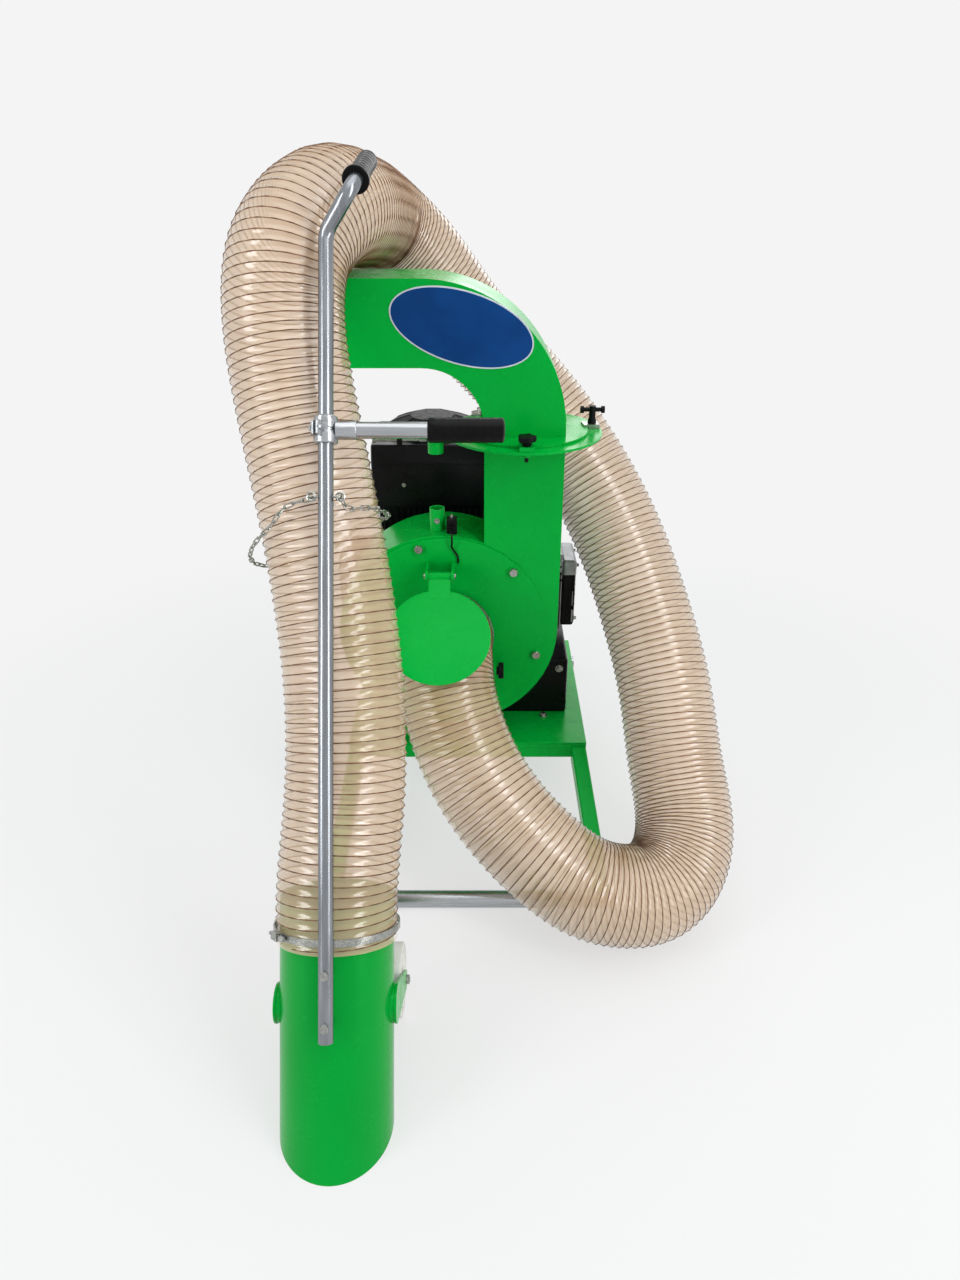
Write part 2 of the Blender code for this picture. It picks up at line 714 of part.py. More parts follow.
def build_front_cover(frame):
    back, front = -SEAT, -SEAT - COVER_SHEET
    collar_end = front - COLLAR_LENGTH
    collar_bore = NOZZLE_R - COLLAR_WALL
    cover = turned([(NOZZLE_R, -collar_end), (NOZZLE_R, -front), (COVER_R, -front), (COVER_R, -back),
                    (collar_bore, -back), (collar_bore, -collar_end)], axis=(0, -1, 0), steps=32)
    for step in range(COVER_BOLTS):
        turn = math.radians(COVER_BOLT_FIRST_DEG + 360 * step / COVER_BOLTS)
        x, z = COVER_BOLT_CIRCLE_R * math.cos(turn), COVER_BOLT_CIRCLE_R * math.sin(turn)
        washer = rod((x, front + WELD, z), (x, front - WASHER_T, z), WASHER_R, sides=10)
        head = hex_bolt_head((x, front - WASHER_T + WELD, z), (0, -1, 0))
        cover = weld(cover, weld(washer, head))
    for side in (-1, 1):
        cover = weld(cover, hinge_lug(side, front))
    lug_x, lug_y, lug_z = INLET_LUG
    x = INLET_KNOB_X
    lug = span((x - lug_x / 2, front - lug_y, INLET_KNOB_Z - lug_z / 2),
               (x + lug_x / 2, front + WELD, INLET_KNOB_Z + lug_z / 2))
    hole_y = front - lug_y + lug_z / 2
    lug = cut(bevelled(lug, 0.003), rod((x - lug_x, hole_y, INLET_KNOB_Z), (x + lug_x, hole_y, INLET_KNOB_Z),
                                        STUD_R + BORE_GAP, sides=12))
    return part("front_cover", weld(cover, lug), "green_paint", frame)


def hinge_lug(side, front):
    """One of the two ears that carry the flap's pin, in the fan's frame."""
    x = FLAP_X - FAN_X + side * (HINGE_BARREL_LENGTH / 2 + SEAT + HINGE_LUG_T / 2)
    y, z = FLAP_HINGE_Y - FAN_FRONT_Y, FLAP_HINGE_Z - FAN_Z
    half = HINGE_LUG_H / 2
    outline = arc((y, z), half, 90, 270, 10) + [(front + WELD, z - half), (front + WELD, z + half)]
    ear = slab(outline, x - HINGE_LUG_T / 2, x + HINGE_LUG_T / 2, "X")
    return cut(ear, rod((x - 0.02, y, z), (x + 0.02, y, z), HINGE_PIN_R + BORE_GAP, sides=12))


def build_impeller(frame):
    """A paddle fan: flat blades on a back disc, round a hub that the crankshaft carries."""
    disc_back = FAN_DEPTH - SHEET - BACK_DISC_GAP
    disc_front = disc_back - BACK_DISC_T
    blade_front = SHEET + BLADE_FRONT_GAP
    wheel = rod((0, disc_front, 0), (0, disc_back, 0), IMPELLER_R, sides=40)
    hub = rod((0, blade_front + HUB_BACK, 0), (0, disc_back - WELD, 0), HUB_R, sides=32)
    wheel = weld(wheel, hub)
    for step in range(IMPELLER_BLADES):
        turn = Matrix.Rotation(2 * math.pi * step / IMPELLER_BLADES, 4, "Y")
        blade = span((HUB_R - BLADE_ROOT, blade_front, -BLADE_T / 2),
                     (IMPELLER_R - BLADE_TIP_INSET, disc_front + WELD, BLADE_T / 2))
        corner = span((HUB_R - 0.01, blade_front - 0.01, -0.02),
                      (BLADE_INNER_R, blade_front + BLADE_NOTCH, 0.02))
        blade = cut(blade, corner)
        blade.data.transform(turn)
        wheel = weld(wheel, blade)
    bore = rod((0, blade_front + SHAFT_START, 0), (0, disc_back + 0.01, 0), SHAFT_R + BORE_GAP)
    return part("impeller", cut(wheel, bore), "black_paint", frame)


def build_crankshaft(frame):
    start = SHEET + BLADE_FRONT_GAP + SHAFT_START + SEAT
    end = CASE_FRONT_Y - FAN_FRONT_Y - SEAT - BOSS_BORE_STOP
    return part("crankshaft", rod((0, start, 0), (0, end, 0), SHAFT_R), "zinc", frame)


def build_inlet_knob():
    """A hand screw through the lug on the inlet cover. It turns about its own axis."""
    front = FAN_FRONT_Y - SEAT - COVER_SHEET
    lug_x, lug_y, lug_z = INLET_LUG
    place = (FAN_X + INLET_KNOB_X, front - lug_y + lug_z / 2, FAN_Z + INLET_KNOB_Z)
    frame = frame_at("inlet_knob_axis", place)
    face = lug_x / 2 + SEAT
    back = face + INLET_KNOB_NECK
    head = slab(lobed_outline(INLET_KNOB_R, KNOB_LOBES, INLET_KNOB_WAVE), back, back + INLET_KNOB_T, "X")
    neck = rod((face, 0, 0), (back + WELD, 0, 0), INLET_KNOB_NECK_R, sides=20)
    stud = rod((-lug_x / 2 - STUD_OUT, 0, 0), (face + WELD, 0, 0), STUD_R, sides=12)
    return part("inlet_knob", weld(bevelled(head, 0.0015, 1), neck, stud), "black_plastic", frame)


def build_inlet_clamp(frame):
    y = HOSE_END_Y - CLAMP_BAND_W / 2 - CLAMP_FROM_END - FAN_FRONT_Y
    band = ring_band(CLAMP_BAND_INNER_R, CLAMP_BAND_T, CLAMP_BAND_W, (0, y, 0), (0, 1, 0))
    turn = math.radians(INLET_SCREW_DEG)
    out = Vector((math.cos(turn), 0, math.sin(turn)))
    screw = clamp_screw(Vector((0, y, 0)), out, Vector((0, 1, 0)))
    return part("inlet_clamp", weld(band, screw), "zinc", frame)


def clamp_screw(centre, out, along):
    """The screw housing of a hose clamp, tangent to its band."""
    across = along.cross(out).normalized()
    radius = CLAMP_BAND_INNER_R + CLAMP_BAND_T
    place = centre + out * (radius + 0.0045)
    turn = Matrix([across, out, along]).transposed().to_4x4()
    turn.translation = place
    housing = span((-0.011, -0.0060, -0.0065), (0.011, 0.005, 0.0065))
    housing = weld(housing, rod((-0.022, 0, 0), (0.020, 0, 0), 0.0035, sides=12),
                   rod((0.018, 0, 0), (0.024, 0, 0), 0.006, sides=6))
    housing.data.transform(turn)
    return housing


# Safety flap, built with its disc hanging straight down from the hinge

def build_flap():
    frame = frame_at("flap_axis", (FLAP_X, FLAP_HINGE_Y, FLAP_HINGE_Z),
                     Matrix.Rotation(-math.radians(FLAP_TILT_DEG), 4, "X"))
    half = HINGE_BARREL_LENGTH / 2
    barrel = rod((-half, 0, 0), (half, 0, 0), HINGE_BARREL_R, sides=16)
    tongue = span((-FLAP_TONGUE_WIDTH / 2, -FLAP_T / 2 - 0.0004, -FLAP_ARM + FLAP_R - 0.02),
                  (FLAP_TONGUE_WIDTH / 2, FLAP_T / 2 - 0.0004, 0))
    rim = FLAP_R - FLAP_EDGE
    disc = turned([(0, FLAP_T / 2), (rim, FLAP_T / 2), (FLAP_R, FLAP_T / 2 - 0.001), (FLAP_R, -FLAP_T / 2),
                   (0, -FLAP_T / 2)], (0, 0, -FLAP_ARM), (0, -1, 0), 40)
    flap = cut(weld(disc, weld(barrel, tongue)),
               rod((-half - 0.01, 0, 0), (half + 0.01, 0, 0), HINGE_PIN_R + BORE_GAP, sides=12))
    part("safety_flap", flap, "green_paint", frame)
    reach = half + SEAT + HINGE_LUG_T + SEAT
    end = reach + HINGE_PIN_HEAD_T
    pin = weld(rod((-end, 0, 0), (end, 0, 0), HINGE_PIN_R, sides=12),
               rod((-end, 0, 0), (-reach, 0, 0), HINGE_PIN_HEAD_R, sides=14),
               rod((reach, 0, 0), (end, 0, 0), HINGE_PIN_HEAD_R, sides=14))
    part("flap_hinge_pin", pin, "zinc", frame)


# Interlock switch on the scroll's top, with its plunger and short cable

def build_interlock():
    width, depth, height = SWITCH_SIZE
    base = FAN_Z + SCROLL_START_R - 0.006
    top = FAN_Z + SCROLL_START_R + SWITCH_RISE + height
    body = span((SWITCH_X - width / 2, SWITCH_Y - depth / 2, base),
                (SWITCH_X + width / 2, SWITCH_Y + depth / 2, top))
    floor = top - PLUNGER_IN - PLUNGER_TRAVEL - SEAT
    well = rod((SWITCH_X, SWITCH_Y, floor), (SWITCH_X, SWITCH_Y, top + 0.01), PLUNGER_R + BORE_GAP, sides=16)
    body = cut(bevelled(body, 0.002, 1), scroll_cutter(), well)
    cable_start = Vector((SWITCH_X, SWITCH_Y - depth / 2 - SEAT, top - GLAND_DROP))
    gland_end = cable_start - Vector((0, GLAND_OUT, 0))
    gland = rod(cable_start + Vector((0, 0.004, 0)), gland_end, GLAND_R, sides=16)
    part("interlock_switch", weld(body, gland), "black_plastic")
    frame = frame_at("plunger_axis", (SWITCH_X, SWITCH_Y, top))
    plunger = turned([(0, PLUNGER_OUT), (PLUNGER_R * 0.6, PLUNGER_OUT), (PLUNGER_R, PLUNGER_OUT - 0.0015),
                      (PLUNGER_R, -PLUNGER_IN), (0, -PLUNGER_IN)], steps=16)
    part("interlock_plunger", plunger, "zinc", frame)
    lug_x = FLAP_X + HINGE_BARREL_LENGTH / 2 + HINGE_LUG_T + SWITCH_CABLE_ASIDE
    front = FAN_FRONT_Y - SEAT - COVER_SHEET - SWITCH_CABLE_R - 0.0005
    start = gland_end - Vector((0, SEAT, 0))
    end_z = FLAP_HINGE_Z + SWITCH_CABLE_END
    high, middle, low = (end_z + share * (start.z - end_z) for share in SWITCH_CABLE_SHARES)
    route = [start, start + Vector((0, -0.012, -0.002)), (SWITCH_X + 0.001, front - 0.008, high),
             (SWITCH_X + 0.001, front - 0.002, middle), (lug_x - 0.002, front, low), (lug_x, front, end_z)]
    path = smooth_route(route, (0, -1, 0), (0, 0, -1), SWITCH_CABLE_SPACING)
    part("switch_cable", pipe(path, SWITCH_CABLE_R, resolution=2), "black_rubber")


# Swivel: fixed flange, turning flange with its chute, keepers and hand screws

def clamp_place(degrees, radius=CLAMP_CIRCLE_R):
    turn = math.radians(degrees)
    return Vector((SWIVEL_X + radius * math.cos(turn), SWIVEL_Y + radius * math.sin(turn), 0))


def duct_hole(low, high):
    """The duct's outer size with its fitting gap, round the swivel's axis."""
    x, y = DUCT_WIDTH / 2 + SEAT, FAN_DEPTH / 2 + SEAT
    return span((SWIVEL_X - x, SWIVEL_Y - y, low), (SWIVEL_X + x, SWIVEL_Y + y, high))


def build_lower_flange():
    plate = rod((SWIVEL_X, SWIVEL_Y, FLANGE_Z), (SWIVEL_X, SWIVEL_Y, FLANGE_TOP_Z), FLANGE_R, sides=40)
    ear = rod((BOOM_X, BOOM_Y, FLANGE_Z), (BOOM_X, BOOM_Y, FLANGE_TOP_Z - 0.0002), BOOM_EAR_R, sides=20)
    plate = weld(plate, ear)
    sleeve_low = FLANGE_Z - BOOM_UPPER_DROP
    sleeve = rod((BOOM_X, BOOM_Y, sleeve_low), (BOOM_X, BOOM_Y, FLANGE_Z + WELD), BOOM_R, sides=20)
    plate = weld(plate, sleeve)
    for degrees in (CLAMP_FRONT_DEG, CLAMP_RIGHT_DEG, CLAMP_REAR_DEG):
        place = clamp_place(degrees)
        low = place + Vector((0, 0, FLANGE_Z - WELD_NUT_H))
        plate = weld(plate, rod(low, place + Vector((0, 0, FLANGE_Z + WELD)), WELD_NUT_R, sides=6))
        plate = cut(plate, rod(low - Vector((0, 0, 0.01)), place + Vector((0, 0, FLANGE_TOP_Z + 0.01)),
                               STUD_R + BORE_GAP, sides=12))
    bore = rod((BOOM_X, BOOM_Y, sleeve_low - 0.01), (BOOM_X, BOOM_Y, FLANGE_Z - BOOM_UPPER_STOP),
               BOOM_R - BOOM_WALL, sides=20)
    plate = cut(plate, duct_hole(FLANGE_Z - 0.02, FLANGE_TOP_Z + 0.02), bore)
    return part("lower_flange", plate, "green_paint")


def chute_outline(inset, overrun):
    """The chute's side view: an upright stub, a quarter bend and a level arm, round the swivel's axis."""
    half = DUCT_WIDTH / 2
    centre = (-half - CHUTE_BEND_R, CHUTE_STRAIGHT)
    inner, outer = CHUTE_BEND_R + inset, CHUTE_BEND_R + DUCT_WIDTH - inset
    end = -math.sqrt(CHUTE_SWEEP_R ** 2 - (FAN_DEPTH / 2) ** 2) - overrun
    bottom = -overrun
    return ([(half - inset, bottom)] + arc(centre, outer, 0, 90, 22) + [(end, centre[1] + outer)]
            + [(end, centre[1] + inner)] + arc(centre, inner, 90, 0, 14) + [(-half + inset, bottom)])


def build_chute(frame):
    """The turning flange and the chute welded on it, with a folded rim inside the outlet."""
    half = FAN_DEPTH / 2
    body = slab(chute_outline(0, 0), -half, half)
    flange = rod((0, 0, 0), (0, 0, FLANGE_T), TURN_FLANGE_R, sides=40)
    body = weld(body, flange)
    room = slab(chute_outline(CHUTE_SHEET, 0.02), -half + CHUTE_SHEET, half - CHUTE_SHEET)
    return part("discharge_chute", cut(body, room), "green_paint", frame)


def build_keeper(name, degrees):
    """A stepped block: its foot stands on the fixed flange and its lip lies over the turning one."""
    base = FLANGE_TOP_Z + SEAT
    lip = base + FLANGE_T + SEAT
    foot_in = TURN_FLANGE_R + KEEPER_FOOT_GAP
    lip_in = TURN_FLANGE_R - KEEPER_REACH
    outer = CLAMP_CIRCLE_R + KEEPER_OUT
    side = [(foot_in, base), (outer, base), (outer, lip + KEEPER_T), (lip_in, lip + KEEPER_T), (lip_in, lip),
            (foot_in, lip)]
    block = slab(side, -KEEPER_WIDTH / 2, KEEPER_WIDTH / 2)
    block = cut(block, rod((CLAMP_CIRCLE_R, 0, base - 0.01), (CLAMP_CIRCLE_R, 0, lip + KEEPER_T + 0.01),
                           STUD_R + BORE_GAP, sides=12))
    place = Matrix.Translation((SWIVEL_X, SWIVEL_Y, 0)) @ Matrix.Rotation(math.radians(degrees), 4, "Z")
    block.data.transform(place)
    return part(name, block, "zinc")


def hand_screw_frame(name, degrees):
    top = FLANGE_TOP_Z + FLANGE_T + KEEPER_T + 3 * SEAT
    return frame_at(name, clamp_place(degrees) + Vector((0, 0, top)))


def screw_stud():
    """The stud below a hand screw's seat, through keeper and flange and out of the weld nut."""
    down = KEEPER_T + 2 * FLANGE_T + 3 * SEAT + WELD_NUT_H + STUD_OUT
    return rod((0, 0, -down), (0, 0, WELD), STUD_R, sides=12)


def build_star_knob():
    frame = hand_screw_frame("star_knob_axis", CLAMP_FRONT_DEG)
    low, high = STAR_KNOB_Z
    foot_r, neck_r = STAR_KNOB_NECK_R
    head = slab(lobed_outline(STAR_KNOB_R, KNOB_LOBES, STAR_KNOB_WAVE), low, high, "Z")
    neck = turned([(0, low + 0.002), (neck_r, low + 0.002), (foot_r, 0), (0, 0)], steps=20)
    return part("star_knob", weld(bevelled(head, 0.002, 1), neck, screw_stud()), "black_plastic", frame)


def build_t_handle():
    """A hand screw with a cross bar that ends in small buttons."""
    frame = hand_screw_frame("t_handle_axis", CLAMP_RIGHT_DEG)
    half, height = T_BAR_HALF, T_BAR_Z
    post = turned([(0, T_POST_H), (T_POST_R, T_POST_H), (T_POST_R, 0.010), (T_FOOT_R, 0.006), (T_FOOT_R, 0),
                   (0, 0)], steps=20)
    bar = rod((-half, 0, height), (half, 0, height), T_BAR_R, sides=14)
    ends = [rod((side * (half - 0.002), 0, height), (side * (half + T_BUTTON_OUT), 0, height), T_BUTTON_R,
                sides=16) for side in (-1, 1)]
    return part("t_handle", weld(post, bar, *ends, screw_stud()), "black_plastic", frame)


def build_rear_bolt():
    frame = hand_screw_frame("rear_bolt_axis", CLAMP_REAR_DEG)
    return part("rear_keeper_bolt", weld(hex_bolt_head((0, 0, 0), (0, 0, 1)), screw_stud()), "zinc", frame)


def build_boom_socket():
    """The lower sleeve of the swing arm's mount, coped to the scroll."""
    base = FAN_Z + SCROLL_START_R - BOOM_ROOT
    top = BOOM_LOWER_TOP_Z
    sleeve = rod((BOOM_X, BOOM_Y, base), (BOOM_X, BOOM_Y, top), BOOM_R, sides=20)
    bore = rod((BOOM_X, BOOM_Y, base + BOOM_FLOOR), (BOOM_X, BOOM_Y, top + 0.01), BOOM_R - BOOM_WALL,
               sides=20)
    return part("boom_socket", cut(sleeve, bore, scroll_cutter()), "green_paint")


# Hose

def build_hose():
    start = LANCE_FOOT + LANCE_UP * HOSE_END_S
    near = LANCE_FOOT + LANCE_UP * (NOZZLE_TOP + 0.002)
    end = Vector((FAN_X, HOSE_END_Y, FAN_Z))
    bend_end = end - Vector((0, HOSE_LAST_RUN, 0))
    path = smooth_route([start, near] + HOSE_ROUTE + [bend_end], LANCE_UP, (0, 1, 0), HOSE_SPACING)
    path.append(end)
    hose = pipe(path, HOSE_R, wall=HOSE_WALL, resolution=HOSE_BEVEL_RESOLUTION)
    return part("suction_hose", hose, "clear_hose")


# Lance, built upright with its axis on Z and its back on +Y

def lance_frame():
    turn = Matrix.Rotation(-LEAN, 4, "X")
    return frame_at("lance_axis", LANCE_FOOT, turn)


def build_nozzle(frame):
    """A round suction nozzle whose mouth is cut level with the floor."""
    drop = NOZZLE_R * math.tan(LEAN) + 0.02
    tube = turned([(NOZZLE_R, NOZZLE_TOP), (NOZZLE_R, -drop), (NOZZLE_R - NOZZLE_WALL, -drop),
                   (NOZZLE_R - NOZZLE_WALL, NOZZLE_TOP)], steps=36)
    ground = span((-0.3, -0.4, -0.3), (0.3, 0.4, 0))
    ground.data.transform(frame.matrix_world.to_3x3().inverted().to_4x4())
    holes = [rod((0, -NOZZLE_R - 0.01, s), (0, -NOZZLE_R + 0.02, s), POLE_BOLT_R + BORE_GAP, sides=12)
             for s in POLE_BOLT_S]
    return part("nozzle", cut(tube, ground, *holes), "green_paint", frame)


def build_nozzle_clamp(frame):
    centre = Vector((0, 0, NOZZLE_CLAMP_S))
    band = ring_band(CLAMP_BAND_INNER_R, CLAMP_BAND_T, CLAMP_BAND_W, centre, (0, 0, 1))
    turn = math.radians(NOZZLE_SCREW_DEG)
    out = Vector((math.cos(turn), math.sin(turn), 0))
    return part("nozzle_clamp", weld(band, clamp_screw(centre, out, Vector((0, 0, 1)))), "zinc", frame)


def pole_corners(frame):
    """The pole's corner points in the lance's own frame."""
    back = frame.matrix_world.to_3x3().inverted()
    low = Vector((0, -POLE_OFFSET, POLE_BOTTOM_S))
    bend = Vector((0, -POLE_OFFSET, POLE_BEND_S))
    shoulder = bend + back @ Vector(POLE_SHOULDER)
    return low, bend, shoulder, shoulder + back @ Vector(GRIP_RUN)


def build_pole(frame):
    corners = pole_corners(frame)
    end = corners[3] - (corners[3] - corners[2]).normalized() * (END_GRIP_CAP + SEAT)
    path = rounded_path([corners[0], corners[1], corners[2], end], POLE_BEND_R)
    pole = pipe(path, POLE_R, wall=POLE_WALL, resolution=3)
    y = -POLE_OFFSET
    holes = [rod((0, y - POLE_D, s), (0, y + POLE_D, s), POLE_BOLT_R + BORE_GAP, sides=12)
             for s in POLE_BOLT_S]
    eye_hole = rod((-POLE_D, y, CHAIN_S), (POLE_D, y, CHAIN_S), CHAIN_EYE_WIRE_R + BORE_GAP, sides=12)
    return part("lance_pole", cut(pole, *holes, eye_hole), "galvanised", frame)


def build_pole_bolt(name, s, frame):
    """A bolt through pole, spacer collar and nozzle wall, with its collar and inner nut as one piece."""
    head_y = -POLE_OFFSET - POLE_R - SEAT
    collar_start, collar_end = -POLE_OFFSET + POLE_R + SEAT, -NOZZLE_R - SEAT - 0.0001
    nut_start = -NOZZLE_R + NOZZLE_WALL + SEAT
    head = hex_bolt_head((0, head_y + 0.0001, s), (0, -1, 0), POLE_BOLT_FLATS, POLE_BOLT_HEAD)
    shank = rod((0, head_y - WELD, s), (0, nut_start + 0.008, s), POLE_BOLT_R, sides=12)
    collar = rod((0, collar_start, s), (0, collar_end, s), SPACER_R, sides=14)
    nut = hex_bolt_head((0, nut_start + 0.0008, s), (0, 1, 0), POLE_BOLT_FLATS, POLE_NUT_T)
    return part(name, weld(shank, head, collar, nut), "zinc", frame)


def build_end_grip(frame):
    corners = pole_corners(frame)
    way = (corners[3] - corners[2]).normalized()
    grip, collar, bore = END_GRIP_D / 2, END_GRIP_COLLAR_D / 2, POLE_R + BORE_GAP
    floor = -END_GRIP_CAP
    collar_low = -END_GRIP_LENGTH
    collar_high = collar_low + END_GRIP_COLLAR_T
    profile = [(0, 0), (grip - 0.003, 0), (grip, -0.003), (grip, collar_high), (collar, collar_high - 0.001),
               (collar, collar_low + 0.001), (collar - 0.002, collar_low), (bore, collar_low), (bore, floor),
               (0, floor)]
    shape = turned(profile, corners[3], way, 18)
    return part("end_grip", shape, "black_rubber", frame)


def build_side_handle(lance):
    """The cross handle and its tee clamp. They swing about the pole once the clamp is loosened."""
    place = lance.matrix_world @ Vector((0, -POLE_OFFSET, TEE_S))
    frame = frame_at("side_handle_axis", place, Matrix.Rotation(-LEAN, 4, "X"))
    tube_r = SIDE_TUBE_D / 2
    tee = weld(rod((0, 0, -TEE_H / 2), (0, 0, TEE_H / 2), TEE_R, sides=20),
               rod((0.004, 0, 0), (TEE_SOCKET, 0, 0), tube_r + TEE_WALL, sides=20),
               tee_lugs())
    tee = cut(tee, rod((0, 0, -0.04), (0, 0, 0.04), POLE_R + BORE_GAP),
              rod((SIDE_TUBE_START - SEAT, 0, 0), (0.08, 0, 0), tube_r + BORE_GAP))
    part("tee_clamp", tee, "galvanised", frame)
    end = SIDE_GRIP_START + SIDE_GRIP_LENGTH - SIDE_GRIP_CAP - SEAT
    tube = turned([(tube_r, end), (tube_r, SIDE_TUBE_START), (tube_r - SIDE_TUBE_WALL, SIDE_TUBE_START),
                   (tube_r - SIDE_TUBE_WALL, end)], axis=(1, 0, 0), steps=18)
    part("side_tube", tube, "galvanised", frame)
    outer, bore, length = SIDE_GRIP_D / 2, tube_r + BORE_GAP, SIDE_GRIP_LENGTH
    floor = length - SIDE_GRIP_CAP
    profile = [(0, length), (outer - 0.002, length), (outer, length - 0.002), (outer, 0.006),
               (outer - 0.002, 0.004), (outer - 0.002, 0), (bore, 0), (bore, floor), (0, floor)]
    part("side_grip", turned(profile, (SIDE_GRIP_START, 0, 0), (1, 0, 0), 20), "black_rubber", frame)


def tee_lugs():
    """The tee clamp's pinch lugs with their bolt, at its front left."""
    out, width, height = TEE_LUG
    head, seat, end = TEE_BOLT_Y
    x = -TEE_R - out / 2
    lugs = weld(span((-TEE_R - out, -width / 2, -height / 2), (-TEE_R + 0.004, width / 2, height / 2)),
                rod((x, head + 0.002, 0), (x, end, 0), TEE_BOLT_R, sides=12),
                rod((x, head, 0), (x, seat, 0), TEE_BOLT_HEAD_R, sides=6))
    lugs.data.transform(Matrix.Rotation(math.radians(TEE_LUG_DEG), 4, "Z"))
    return lugs


def build_chain(frame):
    """The eye bolt through the pole, and the chain that slings the hose from it."""
    y, s = -POLE_OFFSET, CHAIN_S
    bolt = rod((-CHAIN_EYE_OUT + 0.005, y, s), (CHAIN_EYE_OUT - 0.005, y, s), CHAIN_EYE_WIRE_R, sides=12)
    for side in (-1, 1):
        centre = Vector((side * CHAIN_EYE_OUT, y, s))
        ring = [centre + Vector((CHAIN_EYE_R * math.cos(t), 0, CHAIN_EYE_R * math.sin(t)))
                for t in np.linspace(0, 2 * math.pi, 13)[:-1]]
        bolt = weld(bolt, closed_wire(ring, CHAIN_EYE_WIRE_R))
    part("chain_eye_bolt", bolt, "zinc", frame)
    loop = []
    for step in range(CHAIN_LOOP_STEPS + 1):
        share = step / CHAIN_LOOP_STEPS
        turn = math.radians(CHAIN_LEFT_DEG - (CHAIN_LEFT_DEG - CHAIN_RIGHT_DEG) * share)
        sag = CHAIN_DROP * math.sin(math.pi * min(share / CHAIN_SAG_END, 1)) ** 0.8
        loop.append((CHAIN_CENTRE_X + CHAIN_LOOP_R * math.cos(turn), CHAIN_LOOP_R * math.sin(turn),
                     s - CHAIN_FIRST_DROP - sag))
    hang = s - CHAIN_HANG
    left = [Vector((-CHAIN_EYE_OUT, y + step, hang)) for step in (-0.007, 0.007)]
    right = [Vector((CHAIN_EYE_OUT, y + step, hang)) for step in (0.007, -0.007)]
    path = smooth_route(left + loop + right, (0, 1, 0), (0, -1, 0), 0.014)
    part("hose_chain", pipe(path, CHAIN_R, resolution=1), "zinc", frame)


def closed_wire(points, radius):
    curve = bpy.data.curves.new("ring", "CURVE")
    curve.dimensions = "3D"
    curve.bevel_depth = radius
    curve.bevel_resolution = 1
    path = curve.splines.new("POLY")
    path.points.add(len(points) - 1)
    for point, place in zip(path.points, points):
        point.co = (*place, 1)
    path.use_cyclic_u = True
    return settle_curve(curve)


def build_wheel_brackets():
    """Two side plates from pads on the nozzle back to the wheels' axle."""
    pad = LANCE_FOOT + LANCE_UP * BRACKET_PAD_S
    axle = WHEEL_CENTRE
    way = Vector((axle.y - pad.y, axle.z - pad.z)).normalized()
    lean = math.degrees(math.atan2(way.y, way.x))
    outline = (arc((pad.y, pad.z), BRACKET_PAD_R, lean + 90, lean + 270, 14)
               + arc((axle.y, axle.z), BRACKET_END_R, lean - 90, lean + 90, 12))
    tube = rod(LANCE_FOOT, LANCE_FOOT + LANCE_UP * NOZZLE_TOP, NOZZLE_R + SEAT, sides=96)
    for side, label in ((-1, "left"), (1, "right")):
        low = LANCE_X + side * BRACKET_INNER_X
        high = low + side * BRACKET_T
        plate = slab(outline, min(low, high), max(low, high), "X")
        inner = LANCE_X + side * (NOZZLE_R - BRACKET_SADDLE)
        saddle = slab(arc((pad.y, pad.z), BRACKET_PAD_R - 0.001, 0, 345, 23), min(inner, low + side * WELD),
                      max(inner, low + side * WELD), "X")
        cutter = tube.copy()
        cutter.data = tube.data.copy()
        CUTTERS.objects.link(cutter)
        hole = rod((low - 0.02, axle.y, axle.z), (low + 0.02, axle.y, axle.z), AXLE_R + BORE_GAP, sides=20)
        part(f"wheel_bracket_{label}", cut(weld(plate, saddle), cutter, hole), "green_paint")
    bpy.data.objects.remove(tube, do_unlink=True)


def build_wheels():
    frame = frame_at("wheel_axis", WHEEL_CENTRE)
    out = BRACKET_INNER_X + BRACKET_T + SEAT
    axle = weld(rod((-out - AXLE_NUT_T, 0, 0), (out + AXLE_NUT_T, 0, 0), AXLE_R, sides=20),
                rod((-out - AXLE_NUT_T + 0.001, 0, 0), (-out, 0, 0), AXLE_NUT_R, sides=6),
                rod((out, 0, 0), (out + AXLE_NUT_T - 0.001, 0, 0), AXLE_NUT_R, sides=6))
    part("wheel_axle", axle, "zinc", frame)
    radius, half, bore = WHEEL_D / 2, WHEEL_WIDTH / 2, AXLE_R + BORE_GAP
    web = half - WHEEL_WEB_INSET
    rim = radius - WHEEL_RIM
    hub = WHEEL_HUB_R
    profile = [(hub, half), (hub, web), (rim, web), (rim, half), (radius, half), (radius, -half),
               (rim, -half), (rim, -web), (hub, -web), (hub, -half), (bore, -half), (bore, half)]
    for side, label in ((-1, "left"), (1, "right")):
        wheel = turned(profile, (side * WHEEL_OFFSET, 0, 0), (1, 0, 0), 24)
        part(f"wheel_{label}", wheel, "white_nylon", frame)


# Stand

